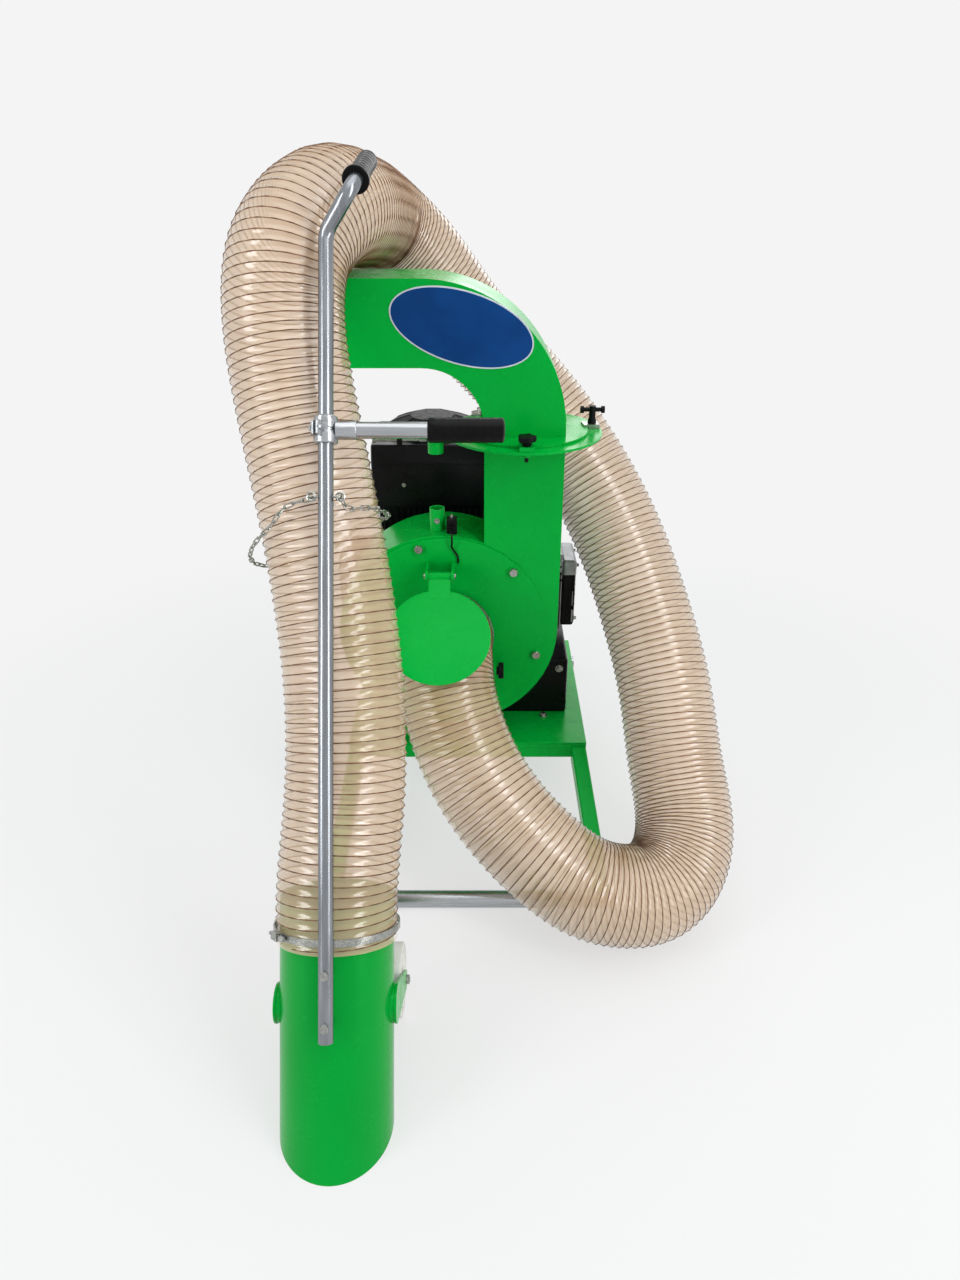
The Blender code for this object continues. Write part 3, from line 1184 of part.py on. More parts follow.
def build_stand():
    x0, x1 = FRAME_X - FRAME_HALF_WIDTH, FRAME_X + FRAME_HALF_WIDTH
    low, top = FRAME_TOP_Z - FRAME_TUBE, FRAME_TOP_Z
    frame = span((x0, FRAME_FRONT_Y, low), (x1, FRAME_REAR_Y, top))
    room = span((x0 + FRAME_TUBE, FRAME_FRONT_Y + FRAME_TUBE, low - 0.02),
                (x1 - FRAME_TUBE, FRAME_REAR_Y - FRAME_TUBE, top + 0.02))
    frame = bevelled(cut(frame, room), 0.003, 1)
    part("base_frame", frame, "green_paint")
    deck = span((x0, FRAME_FRONT_Y, top + SEAT), (x1, FRAME_REAR_Y, top + SEAT + DECK_T))
    part("deck_plate", bevelled(deck, 0.001, 1), "green_paint")
    for bar_y, rail_y, name in ((FRONT_BAR_Y, FRAME_FRONT_Y + FRAME_TUBE / 2, "front"),
                                (REAR_BAR_Y, FRAME_REAR_Y - FRAME_TUBE / 2, "rear")):
        for side, label in ((-1, "left"), (1, "right")):
            build_leg(f"{name}_leg_{label}", side, rail_y, bar_y)
        half = FOOT_BAR_LENGTH / 2
        bar = turned([(FOOT_BAR_R, half), (FOOT_BAR_R, -half), (FOOT_BAR_R - FOOT_BAR_WALL, -half),
                      (FOOT_BAR_R - FOOT_BAR_WALL, half)], (FRAME_X, bar_y, FOOT_BAR_R), (1, 0, 0), 24)
        part(f"{name}_foot_bar", bar, "galvanised")


def build_leg(name, side, rail_y, bar_y):
    """A square leg from under the rail down to the foot bar, coped to sit on it."""
    top_x = FRAME_X + side * (FRAME_HALF_WIDTH - LEG_TOP_INSET)
    top = Vector((top_x, rail_y, FRAME_TOP_Z - FRAME_TUBE / 2))
    foot = Vector((top_x + side * LEG_SPLAY, bar_y, FOOT_BAR_R))
    along = (foot - top).normalized()
    start = top - along * LEG_TUBE
    turn = along.to_track_quat("Z", "Y").to_matrix().to_4x4()

    def square_bar(width, length):
        bm = bmesh.new()
        bmesh.ops.create_cube(bm, size=1.0)
        size = Matrix.Diagonal((width, width, length, 1))
        bmesh.ops.transform(bm, matrix=Matrix.Translation((start + foot) / 2) @ turn @ size, verts=bm.verts)
        return from_bmesh(bm)

    run = (foot - start).length
    leg = bevelled(square_bar(LEG_TUBE, run), 0.003, 1)
    bore = square_bar(LEG_TUBE - 2 * LEG_WALL, run + LEG_TUBE)
    inner = FRAME_FRONT_Y if bar_y < rail_y else FRAME_REAR_Y
    outward = -1 if bar_y < rail_y else 1
    past, seat = inner - outward * 0.3, inner + outward * SEAT
    rail = span((top_x - 0.2, min(past, seat), FRAME_TOP_Z - FRAME_TUBE - 0.2),
                (top_x + 0.2, max(past, seat), FRAME_TOP_Z + 0.2))
    above = span((top_x - 0.2, rail_y - 0.6, FRAME_TOP_Z - 0.001),
                 (top_x + 0.2, rail_y + 0.6, FRAME_TOP_Z + 0.3))
    saddle = rod((foot.x - 0.1, bar_y, FOOT_BAR_R), (foot.x + 0.1, bar_y, FOOT_BAR_R), FOOT_BAR_R + SEAT,
                 sides=48)
    return part(name, cut(leg, rail, above, saddle, bore), "green_paint")


# Engine

def build_engine():
    deck_top = FRAME_TOP_Z + SEAT + DECK_T
    riser = span((RISER_X[0], RISER_Y[0], deck_top + SEAT), (RISER_X[1], RISER_Y[1], RISER_TOP_Z))
    inside = span((RISER_X[0] + RISER_SHEET, RISER_Y[0] + RISER_SHEET, 0),
                  (RISER_X[1] - RISER_SHEET, RISER_Y[1] - RISER_SHEET, RISER_TOP_Z - RISER_SHEET))
    riser = cut(bevelled(riser, RISER_EDGE), inside)
    part("engine_riser", weld(riser, switch_housing()), "black_paint")
    x0, x1 = FAN_X - CASE_HALF_WIDTH, FAN_X + CASE_HALF_WIDTH
    case = bevelled(span((x0, CASE_FRONT_Y, RISER_TOP_Z + SEAT), (x1, CASE_REAR_Y, CASE_TOP_Z)), CASE_EDGE)
    boss_front = FAN_FRONT_Y + FAN_DEPTH + SEAT
    boss = rod((FAN_X, boss_front, FAN_Z), (FAN_X, CASE_FRONT_Y + WELD, FAN_Z), BOSS_R, sides=32)
    bore_end = CASE_FRONT_Y - BOSS_BORE_STOP
    bore = rod((FAN_X, FAN_FRONT_Y, FAN_Z), (FAN_X, bore_end, FAN_Z), SHAFT_R + BOSS_BORE_GAP)
    shelf = span((FAN_X - TANK_SHELF_HALF, CASE_REAR_Y - 0.020, TANK_Z[0] - SEAT - TANK_SHELF_T),
                 (FAN_X + TANK_SHELF_HALF, TANK_SHELF_REAR_Y, TANK_Z[0] - SEAT))
    part("crankcase", cut(weld(case, boss, shelf), bore), "cast_aluminium")
    build_cylinder(x1)
    build_engine_top()
    build_muffler(x0)
    build_tank_and_starter()


def build_muffler(case_side):
    """A box muffler of sheet steel, bolted to the crankcase's left side, with its tail pipe to the rear."""
    low = Vector((MUFFLER_X[0], MUFFLER_Y[0], MUFFLER_Z[0]))
    high = Vector((MUFFLER_X[1], MUFFLER_Y[1], MUFFLER_Z[1]))
    sheet = Vector((MUFFLER_SHEET, MUFFLER_SHEET, MUFFLER_SHEET))
    can = bevelled(span(low, high), MUFFLER_EDGE)
    room = bevelled(span(low + sheet, high - sheet), MUFFLER_EDGE - MUFFLER_SHEET)
    port = Vector((case_side - SEAT, CYLINDER_Y, MUFFLER_PORT_Z))
    port_flange = rod(port, port - Vector((PORT_FLANGE_T, 0, 0)), PORT_FLANGE_R)
    neck = rod(port, Vector((high.x - 0.01, CYLINDER_Y, MUFFLER_PORT_Z)), PORT_NECK_R)
    tail = Vector(((low.x + high.x) / 2, high.y, high.z - TAIL_PIPE_DROP))
    pipe_end = tail + Vector((0, TAIL_PIPE_LENGTH, 0))
    pipe_out = rod(tail - Vector((0, 0.010, 0)), pipe_end, TAIL_PIPE_R)
    pipe_bore = rod(tail - Vector((0, 0.020, 0)), pipe_end + Vector((0, 0.01, 0)),
                    TAIL_PIPE_R - MUFFLER_SHEET)
    return part("muffler", cut(weld(can, neck, port_flange, pipe_out), room, pipe_bore), "black_paint")


def switch_housing():
    """The stop switch's surround on the riser's back."""
    x, y, z = STOP_SWITCH_X, RISER_Y[1], STOP_SWITCH_Z
    half_x, half_z = STOP_HOLDER_HALF
    well_x, well_z = STOP_WELL_HALF
    holder = span((x - half_x, y - WELD, z - half_z), (x + half_x, y + STOP_HOLDER_DEPTH, z + half_z))
    well = span((x - well_x, y + STOP_HOLDER_FLOOR, z - well_z), (x + well_x, y + 0.03, z + well_z))
    return cut(bevelled(holder, 0.002, 1), well)


def build_cylinder(start):
    """The finned barrel, its head and the rocker cover, lying out to the right."""
    start += SEAT
    end = start + CYLINDER_LENGTH
    y, z, half = CYLINDER_Y, CYLINDER_Z, CYLINDER_FIN_SIZE / 2
    barrel = rod((start, y, z), (end, y, z), CYLINDER_CORE_R, sides=16)
    pitch = CYLINDER_LENGTH / CYLINDER_FINS
    for step in range(CYLINDER_FINS):
        x = start + pitch * (step + 0.5)
        fin = span((x - FIN_T / 2, y - half, z - half), (x + FIN_T / 2, y + half, z + half))
        barrel = weld(barrel, fin)
    part("cylinder", barrel, "black_paint")
    head_end = end + SEAT + HEAD_THICKNESS
    tall = HEAD_HEIGHT / 2
    head = span((end + SEAT, y - half, z - tall + HEAD_LIFT), (head_end, y + half, z + tall))
    for step in range(HEAD_GROOVES):
        high = z + tall - HEAD_GROOVE_FIRST - HEAD_GROOVE_PITCH * step
        groove = span((end + HEAD_GROOVE_FLOOR, y - half - 0.01, high - HEAD_GROOVE_WIDTH),
                      (head_end + 0.01, y + half + 0.01, high))
        head = cut(head, groove)
    part("cylinder_head", head, "cast_aluminium")
    inset = ROCKER_INSET
    cover = span((head_end + SEAT, y - half + inset, z - tall + inset),
                 (head_end + ROCKER_DEPTH, y + half - inset, z + tall - 2 * inset))
    part("rocker_cover", bevelled(cover, 0.008), "black_paint")


def build_engine_top():
    """Cooling shroud with the intake neck, folded cowl, throttle rod and the round air cleaner on top."""
    low, high, sheet = CASE_TOP_Z + SEAT, COWL_Z[0] - SEAT, SHROUD_SHEET
    shroud = bevelled(span((SHROUD_X[0], SHROUD_Y[0], low), (SHROUD_X[1], SHROUD_Y[1], high)), SHROUD_EDGE)
    room = span((SHROUD_X[0] + sheet, SHROUD_Y[0] + sheet, low - 0.01),
                (SHROUD_X[1] - sheet, SHROUD_Y[1] - sheet, high - sheet))
    x, y = AIR_CLEANER_X, (SHROUD_Y[0] + SHROUD_Y[1]) / 2
    neck = rod((x, y, high - WELD), (x, y, COWL_Z[1] - COWL_SHEET - SEAT), INTAKE_NECK_R, sides=20)
    part("cooling_shroud", weld(cut(shroud, room), neck), "black_paint")
    side = [(COWL_Y[0], COWL_Z[0]), (COWL_Y[1], COWL_Z[0]), (COWL_Y[1], COWL_Z[1]),
            (COWL_Y[0] + COWL_LEAN, COWL_Z[1]), (COWL_Y[0], COWL_CREASE_Z)]
    sheet = COWL_SHEET
    inside = [(COWL_Y[0] + sheet, COWL_Z[0] - 0.01), (COWL_Y[1] - sheet, COWL_Z[0] - 0.01),
              (COWL_Y[1] - sheet, COWL_Z[1] - sheet), (COWL_Y[0] + COWL_LEAN + sheet, COWL_Z[1] - sheet),
              (COWL_Y[0] + sheet, COWL_CREASE_Z)]
    cowl = bevelled(slab(side, COWL_X[0], COWL_X[1], "X"), 0.003, 1, math.radians(15))
    cowl = cut(cowl, slab(inside, COWL_X[0] + sheet, COWL_X[1] - sheet, "X"))
    x_mid = (THROTTLE_ROD_X[0] + THROTTLE_ROD_X[1]) / 2
    rod_y, rod_z, half = THROTTLE_ROD_Y, THROTTLE_ROD_Z, THROTTLE_GUIDE_HALF
    guide = span((x_mid - half, rod_y - half, COWL_Z[1] - WELD),
                 (x_mid + half, rod_y + half, rod_z + half + 0.001))
    rod_hole = rod((x_mid - 0.02, rod_y, rod_z), (x_mid + 0.02, rod_y, rod_z), THROTTLE_ROD_R + BORE_GAP)
    guide = cut(guide, rod_hole)
    part("engine_cowl", weld(cowl, guide), "black_paint")
    frame = frame_at("throttle_rod_axis", (x_mid, rod_y, THROTTLE_ROD_Z))
    reach = (THROTTLE_ROD_X[1] - THROTTLE_ROD_X[0]) / 2
    knob, stop = THROTTLE_END_LENGTHS
    control = weld(rod((-reach, 0, 0), (reach, 0, 0), THROTTLE_ROD_R, sides=14),
                   rod((reach - knob, 0, 0), (reach, 0, 0), THROTTLE_END_R, sides=14),
                   rod((-reach, 0, 0), (-reach + stop, 0, 0), THROTTLE_END_R, sides=14))
    part("throttle_rod", control, "zinc", frame)
    base, top = COWL_Z[1] + SEAT, AIR_CLEANER_TOP_Z
    shoulder = [(AIR_CLEANER_R - inset, top - drop) for inset, drop in AIR_CLEANER_SHOULDER]
    profile = [(0, top)] + shoulder + [(AIR_CLEANER_R, base), (0, base)]
    dome = turned(profile, (AIR_CLEANER_X, AIR_CLEANER_Y, 0), (0, 0, 1), 32)
    part("air_cleaner_cover", dome, "black_plastic")


def build_tank_and_starter():
    tank = span((TANK_X[0], TANK_Y[0], TANK_Z[0]), (TANK_X[1], TANK_Y[1], TANK_Z[1]))
    part("fuel_tank", bevelled(tank, TANK_EDGE, 3), "black_plastic")
    cap_place = (TANK_X[0] + FUEL_CAP_IN, (TANK_Y[0] + TANK_Y[1]) / 2, TANK_Z[1] + SEAT)
    cap_frame = frame_at("fuel_cap_axis", cap_place)
    cap = slab(lobed_outline(FUEL_CAP_R, FUEL_CAP_LOBES, FUEL_CAP_WAVE, 4), 0, FUEL_CAP_H, "Z")
    part("fuel_cap", bevelled(cap, 0.002, 1), "black_plastic", cap_frame)
    start, end = CASE_REAR_Y + SEAT, RECOIL_REAR_Y
    shoulder = [(RECOIL_R - inset, end - drop) for inset, drop in RECOIL_SHOULDER]
    shell = turned([(0, end)] + shoulder + [(RECOIL_R, start), (0, start)], (FAN_X, 0, FAN_Z), (0, 1, 0), 32)
    eyelet_end = FAN_X - RECOIL_R - RECOIL_EYELET_OUT
    grip_z = FAN_Z - RECOIL_GRIP_DROP
    eyelet = rod((FAN_X - RECOIL_R * 0.6, RECOIL_GRIP_Y, grip_z), (eyelet_end, RECOIL_GRIP_Y, grip_z),
                 RECOIL_EYELET_R, sides=16)
    part("recoil_starter", weld(shell, eyelet), "black_plastic")
    grip_frame = frame_at("recoil_grip_axis", (eyelet_end - SEAT, RECOIL_GRIP_Y, grip_z))
    half, half_width = RECOIL_GRIP_LENGTH / 2, RECOIL_GRIP_WIDTH / 2
    near, far = RECOIL_GRIP_OUT
    grip = weld(rod((0, 0, 0), (-near - 0.002, 0, 0), RECOIL_GRIP_NECK_R, sides=14),
                bevelled(span((-far, -half_width, -half), (-near, half_width, half)), 0.004, 2))
    part("recoil_grip", grip, "black_rubber", grip_frame)
    pivot_y = RISER_Y[1] + STOP_SWITCH_PIVOT
    switch_frame = frame_at("stop_switch_axis", (STOP_SWITCH_X, pivot_y, STOP_SWITCH_Z))
    rocker = slab([(-0.0045, -0.011), (0.0065, -0.012), (0.0035, 0), (0.0065, 0.012), (-0.0045, 0.011)],
                  -0.009, 0.009, "X")
    part("stop_switch", rocker, "red_plastic", switch_frame)


def build_all():
    fan = frame_at("fan_axis", (FAN_X, FAN_FRONT_Y, FAN_Z))
    build_fan_housing(fan)
    build_front_cover(fan)
    build_impeller(fan)
    build_crankshaft(fan)
    build_inlet_clamp(fan)
    build_inlet_knob()
    build_flap()
    build_interlock()
    build_boom_socket()
    build_lower_flange()
    swivel = frame_at("swivel_axis", (SWIVEL_X, SWIVEL_Y, FLANGE_TOP_Z + SEAT))
    build_chute(swivel)
    build_keeper("keeper_front", CLAMP_FRONT_DEG)
    build_keeper("keeper_right", CLAMP_RIGHT_DEG)
    build_keeper("keeper_rear", CLAMP_REAR_DEG)
    build_star_knob()
    build_t_handle()
    build_rear_bolt()
    build_hose()
    lance = lance_frame()
    bpy.context.view_layer.update()
    build_nozzle(lance)
    build_nozzle_clamp(lance)
    build_pole(lance)
    for label, s in zip(("lower", "upper"), POLE_BOLT_S):
        build_pole_bolt(f"pole_bolt_{label}", s, lance)
    build_end_grip(lance)
    build_side_handle(lance)
    build_chain(lance)
    build_wheel_brackets()
    build_wheels()
    build_stand()
    build_engine()


empty_scene()
PARTS = new_collection("leaf_vacuum")
CUTTERS = new_collection("cutters")
build_all()
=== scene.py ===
# %% [markdown]
# # Leaf vacuum
#
# A petrol engine turns a paddle fan in a green sheet steel scroll. The fan sucks leaves through a long wire
# hose from a nozzle on a wheeled lance, and blows them out of a duct whose top end turns.
#
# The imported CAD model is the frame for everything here. It could be imported as one mesh and coloured, but
# loading it node by node lets each finish sit on its own piece, and lets each new piece ride on the body
# that carries it.

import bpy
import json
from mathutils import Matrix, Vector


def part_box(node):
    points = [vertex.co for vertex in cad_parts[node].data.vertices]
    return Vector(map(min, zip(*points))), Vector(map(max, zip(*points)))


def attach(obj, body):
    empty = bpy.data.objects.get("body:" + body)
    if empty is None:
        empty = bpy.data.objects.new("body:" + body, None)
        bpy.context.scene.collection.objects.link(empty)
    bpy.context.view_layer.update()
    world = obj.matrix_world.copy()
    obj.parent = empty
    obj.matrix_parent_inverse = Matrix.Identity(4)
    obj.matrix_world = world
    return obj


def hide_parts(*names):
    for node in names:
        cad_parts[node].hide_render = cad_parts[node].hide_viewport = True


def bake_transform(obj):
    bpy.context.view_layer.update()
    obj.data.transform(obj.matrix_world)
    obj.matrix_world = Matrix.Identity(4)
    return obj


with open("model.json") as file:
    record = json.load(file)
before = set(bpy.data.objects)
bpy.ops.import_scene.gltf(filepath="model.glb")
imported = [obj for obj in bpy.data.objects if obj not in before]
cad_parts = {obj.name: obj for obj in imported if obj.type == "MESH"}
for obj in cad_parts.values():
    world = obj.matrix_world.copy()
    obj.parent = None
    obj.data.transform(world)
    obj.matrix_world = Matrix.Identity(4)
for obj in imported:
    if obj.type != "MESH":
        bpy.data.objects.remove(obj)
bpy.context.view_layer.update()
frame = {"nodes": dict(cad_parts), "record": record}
nodes = frame["nodes"]

# %% Modules, units and directions
import json
import math

import bmesh
import bpy
import numpy as np
from mathutils import Matrix, Vector

MM = 0.001
LEFT, RIGHT, FRONT, BACK, UP = (-1, 0, 0), (1, 0, 0), (0, -1, 0), (0, 1, 0), (0, 0, 1)
print("the fan's cover faces", FRONT)

# %% [markdown]
# ## Camera
#
# The photograph was taken from standing height, close to the nozzle, looking down at the machine. A long
# lens from further back would show the same pieces but lose the strong taper of the nozzle, so a wide lens
# is used here.

# %% Camera
CAMERA_PLACE = Vector((-0.0543, -1.75, 1.502))
CAMERA_DROP = math.radians(28.5)
LENS_MM, SENSOR_MM = 26, 36

eye = bpy.data.cameras.new("studio_camera")
eye.lens, eye.sensor_width, eye.sensor_fit = LENS_MM, SENSOR_MM, "AUTO"
camera = bpy.data.objects.new("studio_camera", eye)
camera.matrix_world = Matrix.Translation(CAMERA_PLACE) @ Matrix.Rotation(math.pi / 2 - CAMERA_DROP, 4, "X")
bpy.context.scene.collection.objects.link(camera)
bpy.context.scene.camera = camera
print("camera:", tuple(CAMERA_PLACE), "lens", eye.lens, "mm")

# %% [markdown]
# ## Studio
#
# Product photographs like this one use a white sweep and big soft boxes. A real sweep would need very
# bright lamps to turn white, which would also bleach the paint. Here camera rays see a flat white in the
# world instead, and the lamps only light the machine.

# %% Nodes and colours
def linear(code):
    """An sRGB hex colour as linear red, green, blue and alpha."""
    shares = [int(code[i:i + 2], 16) / 255 for i in (1, 3, 5)]
    return (*[s / 12.92 if s <= 0.04045 else ((s + 0.055) / 1.055) ** 2.4 for s in shares], 1)


def add_node(tree, kind, settings=None, links=None):
    """A shader node with its settings and its inputs, each a value or another node's output."""
    node = tree.nodes.new("ShaderNode" + kind)
    for name, value in (settings or {}).items():
        setattr(node, name, value)
    for name, value in (links or {}).items():
        if isinstance(value, bpy.types.NodeSocket):
            tree.links.new(value, node.inputs[name])
        else:
            node.inputs[name].default_value = value
    return node


def seen_rays(tree):
    """1 for the rays that show a background: the camera's, and those in metal and glass."""
    rays = add_node(tree, "LightPath")
    direct = add_node(tree, "Math", {"operation": "MAXIMUM"},
                      {0: rays.outputs["Is Camera Ray"], 1: rays.outputs["Is Transmission Ray"]})
    return add_node(tree, "Math", {"operation": "MAXIMUM"},
                    {0: direct.outputs[0], 1: rays.outputs["Is Glossy Ray"]}).outputs[0]


print("mid grey is", round(linear("#808080")[0], 3), "in linear light")

# %% World
# The room is dimmer on the photographer's side, so that round pieces darken towards their middle.
BACKGROUND = "#F4F4F4"
AMBIENT = "#E9EDF0"
AMBIENT_FRONT, AMBIENT_ROUND = 0.22, 0.78
DIM_FROM, DIM_TO = -1.0, 0.1

world = bpy.data.worlds.new("studio")
world.use_nodes = True
bpy.context.scene.world = world
tree = world.node_tree
tree.nodes.clear()
way = add_node(tree, "SeparateXYZ", None,
               {0: add_node(tree, "TexCoord").outputs["Generated"]})
level = add_node(tree, "MapRange", {"interpolation_type": "SMOOTHSTEP"},
                 {"Value": way.outputs["Y"], "From Min": DIM_FROM, "From Max": DIM_TO,
                  "To Min": AMBIENT_FRONT, "To Max": AMBIENT_ROUND})
soft = add_node(tree, "Background", None, {"Color": linear(AMBIENT), "Strength": level.outputs[0]})
plain = add_node(tree, "Background", None, {"Color": linear(BACKGROUND), "Strength": 1.0})
both = add_node(tree, "MixShader", None,
                {0: seen_rays(tree), 1: soft.outputs[0], 2: plain.outputs[0]})
add_node(tree, "OutputWorld", None, {"Surface": both.outputs[0]})
bpy.context.scene.view_settings.view_transform = "Standard"
print("world:", world.name)

# %% Floor
# The sweep takes the machine's shadow close by and turns into the flat background further out.
FLOOR_HALF, FLOOR_DROP = 6.0, 0.5 * MM
PAPER, PAPER_ROUGHNESS = "#E4E4E4", 0.9
NEAR_SHARE = 0.66
FADE_START, FADE_END = 1.0, 2.3

sheet = bpy.data.meshes.new("studio_floor")
sheet.from_pydata([(a * FLOOR_HALF, b * FLOOR_HALF, 0) for a, b in ((-1, -1), (1, -1), (1, 1), (-1, 1))], [],
                  [(0, 1, 2, 3)])
floor = bpy.data.objects.new("studio_floor", sheet)
floor.location.z = -FLOOR_DROP
bpy.context.scene.collection.objects.link(floor)

paper = bpy.data.materials.new("matt_paper_sweep")
paper.use_nodes = True
tree = paper.node_tree
shader = tree.nodes["Principled BSDF"]
shader.inputs["Base Color"].default_value = linear(PAPER)
shader.inputs["Roughness"].default_value = PAPER_ROUGHNESS
spot = add_node(tree, "TexCoord").outputs["Object"]
reach = add_node(tree, "VectorMath", {"operation": "LENGTH"}, {0: spot}).outputs["Value"]
fade = add_node(tree, "MapRange", {"interpolation_type": "SMOOTHSTEP"},
                {"Value": reach, "From Min": FADE_START, "From Max": FADE_END,
                 "To Min": NEAR_SHARE, "To Max": 1.0})
share = add_node(tree, "Math", {"operation": "MULTIPLY"}, {0: fade.outputs[0], 1: seen_rays(tree)})
flat = add_node(tree, "Emission", None, {"Color": linear(BACKGROUND), "Strength": 1.0})
mixed = add_node(tree, "MixShader", None,
                 {0: share.outputs[0], 1: shader.outputs[0], 2: flat.outputs[0]})
tree.links.new(mixed.outputs[0], tree.nodes["Material Output"].inputs["Surface"])
sheet.materials.append(paper)
print("floor:", 2 * FLOOR_HALF, "m across")

# %% Lamps
# Each is a place, a size in metres and a power in watts. The tall strips draw the hose's long highlights.
LAMPS = {
    "overhead_box": ((0.2, -0.3, 4.0), (3.0, 3.0), 42), "left_strip": ((-3.0, -2.0, 1.9), (1.0, 3.0), 58),
    "right_strip": ((2.5, -2.3, 1.8), (0.9, 3.0), 54), "high_strip": ((1.5, -1.7, 3.3), (0.5, 1.8), 15),
    "rear_box": ((0.5, 3.6, 2.4), (2.6, 2.0), 30),
}
LAMPS_AIM = Vector((0, 0, 0.7))

for name, (place, size, power) in LAMPS.items():
    lamp = bpy.data.lights.new(name, "AREA")
    lamp.shape = "RECTANGLE"
    lamp.size, lamp.size_y = size
    lamp.energy = power
    box = bpy.data.objects.new(name, lamp)
    turn = (LAMPS_AIM - Vector(place)).to_track_quat("-Z", "Y").to_matrix().to_4x4()
    box.matrix_world = Matrix.Translation(place) @ turn
    bpy.context.scene.collection.objects.link(box)
print("lamps:", list(LAMPS))

# %% [markdown]
# ## Finishes
#
# Every finish is made from noise placed in millimetres, so that it looks the same on a bolt and on a panel.
# Image textures would also work, but they would need unwrapped meshes, and they blur close up. One function
# puts a finish together: a colour that wanders in blotches, an uneven gloss and a fine relief.

# %% A finish from patterns
def grain(tree, place, size, detail=2.0, stretch=(1, 1, 1)):
    """Noise whose blotches are about size metres across, 0 to 1."""
    scaled = add_node(tree, "Mapping", None, {"Vector": place, "Scale": stretch})
    return add_node(tree, "TexNoise", None,
                    {"Vector": scaled.outputs[0], "Scale": 1 / size, "Detail": detail}).outputs["Fac"]


PATTERN_LOW, PATTERN_HIGH = 0.3, 0.7


def ramp(tree, share, low, high):
    """Maps the middle of a pattern's range onto two values or two hex colours."""
    if isinstance(low, str):
        mixed = add_node(tree, "ValToRGB", None, {"Fac": share})
        stops = zip(mixed.color_ramp.elements, (PATTERN_LOW, PATTERN_HIGH), (low, high))
        for stop, position, colour in stops:
            stop.position, stop.color = position, linear(colour)
        return mixed.outputs["Color"]
    return add_node(tree, "MapRange", None,
                    {"Value": share, "From Min": PATTERN_LOW, "From Max": PATTERN_HIGH,
                     "To Min": low, "To Max": high}).outputs[0]


def surface(name, colours, blotch, relief, depth, roughness, uneven=None, metallic=0.0, sockets=None):
    """A material that wanders between two colours, with a relief of depth metres.

    blotch and relief are patterns as grain() takes them: size, detail, stretch. blotch may be a function
    that makes its own. uneven is a pattern for the gloss, and how far it takes the roughness down and up.
    """
    material = bpy.data.materials.new(name)
    material.use_nodes = True
    tree = material.node_tree
    shader = tree.nodes["Principled BSDF"]
    place = add_node(tree, "TexCoord").outputs["Object"]
    tone = blotch(tree, place) if callable(blotch) else grain(tree, place, *blotch)
    tree.links.new(ramp(tree, tone, *colours), shader.inputs["Base Color"])
    if uneven:
        pattern, down, up = uneven
        gloss = ramp(tree, grain(tree, place, *pattern), roughness - down, roughness + up)
        tree.links.new(gloss, shader.inputs["Roughness"])
    raised = add_node(tree, "Bump", None,
                      {"Height": grain(tree, place, *relief), "Strength": 1.0, "Distance": depth})
    tree.links.new(raised.outputs["Normal"], shader.inputs["Normal"])
    for socket, value in {"Roughness": roughness, "Metallic": metallic, **(sockets or {})}.items():
        shader.inputs[socket].default_value = value
    return material


print("patterns use", PATTERN_LOW, "to", PATTERN_HIGH)

# %% [markdown]
# ### Powder coat and enamel
#
# The sheet steel is powder coated: charged polyester powder is baked and flows into a thick, glossy skin
# with a faint orange peel about 3 mm across. The engine's covers are stove enamelled in black. A flat
# glossy colour would look like plastic, so dust makes the gloss uneven, and the sheen is tinted green as it
# is in the photograph.

# %% Powder coat and enamel
def powder_coat(name, low, high, roughness, sheen, tint="#7CFFA0"):
    return surface(name, (low, high), (260 * MM,), (3.2 * MM, 1.0), 0.02 * MM, roughness,
                   uneven=((45 * MM, 6.0), 0.05, 0.08),
                   sockets={"Specular IOR Level": sheen, "Specular Tint": linear(tint)})


green_powder_coat = powder_coat("green_powder_coat", "#00A236", "#00AC3C", 0.24, 0.32)
# The nozzle is the same green coat, painted a little deeper as shade over the nozzle's middle
nozzle_coat_painted_shade = powder_coat("nozzle_coat_painted_shade", "#009430", "#009C35", 0.22, 0.34)
black_enamel = powder_coat("black_engine_enamel", "#08090A", "#0F1011", 0.28, 0.14, "#FFFFFF")
print("coats:", green_powder_coat.name, nozzle_coat_painted_shade.name, black_enamel.name)

# %% [markdown]
# ### Zinc
#
# Zinc on bolts and chain sets in small flat crystals, each a slightly different grey, so a cell pattern
# shades it. The tubes are drawn after their zinc bath and keep fine marks along their length instead. Noise
# that is stretched along the tube draws them, so a tube that stands and one that lies across need a finish
# each. The standing tube's greys are darker, as painted shade for the darker room that it reflects.

# %% Zinc plating and drawn tube
CRYSTAL_SPREAD, CRYSTAL_LOW = 0.45, 0.28


def crystals(size):
    """Flat cells of several greys, for surface() to colour."""
    def shade(tree, place):
        cells = add_node(tree, "TexVoronoi", None, {"Vector": place, "Scale": 1 / size})
        grey = add_node(tree, "SeparateColor", None, {"Color": cells.outputs["Color"]}).outputs[0]
        return add_node(tree, "Math", {"operation": "MULTIPLY_ADD"},
                        {0: grey, 1: CRYSTAL_SPREAD, 2: CRYSTAL_LOW}).outputs[0]
    return shade


def drawn_tube(name, low, high, marks):
    """Drawn tube. marks scales the pattern by axis, small along the tube."""
    return surface(name, (low, high), (6 * MM, 4.0, marks), (1.2 * MM, 2.0, marks), 0.01 * MM, 0.24,
                   uneven=((6 * MM, 4.0, marks), 0.05, 0.06), metallic=0.92)


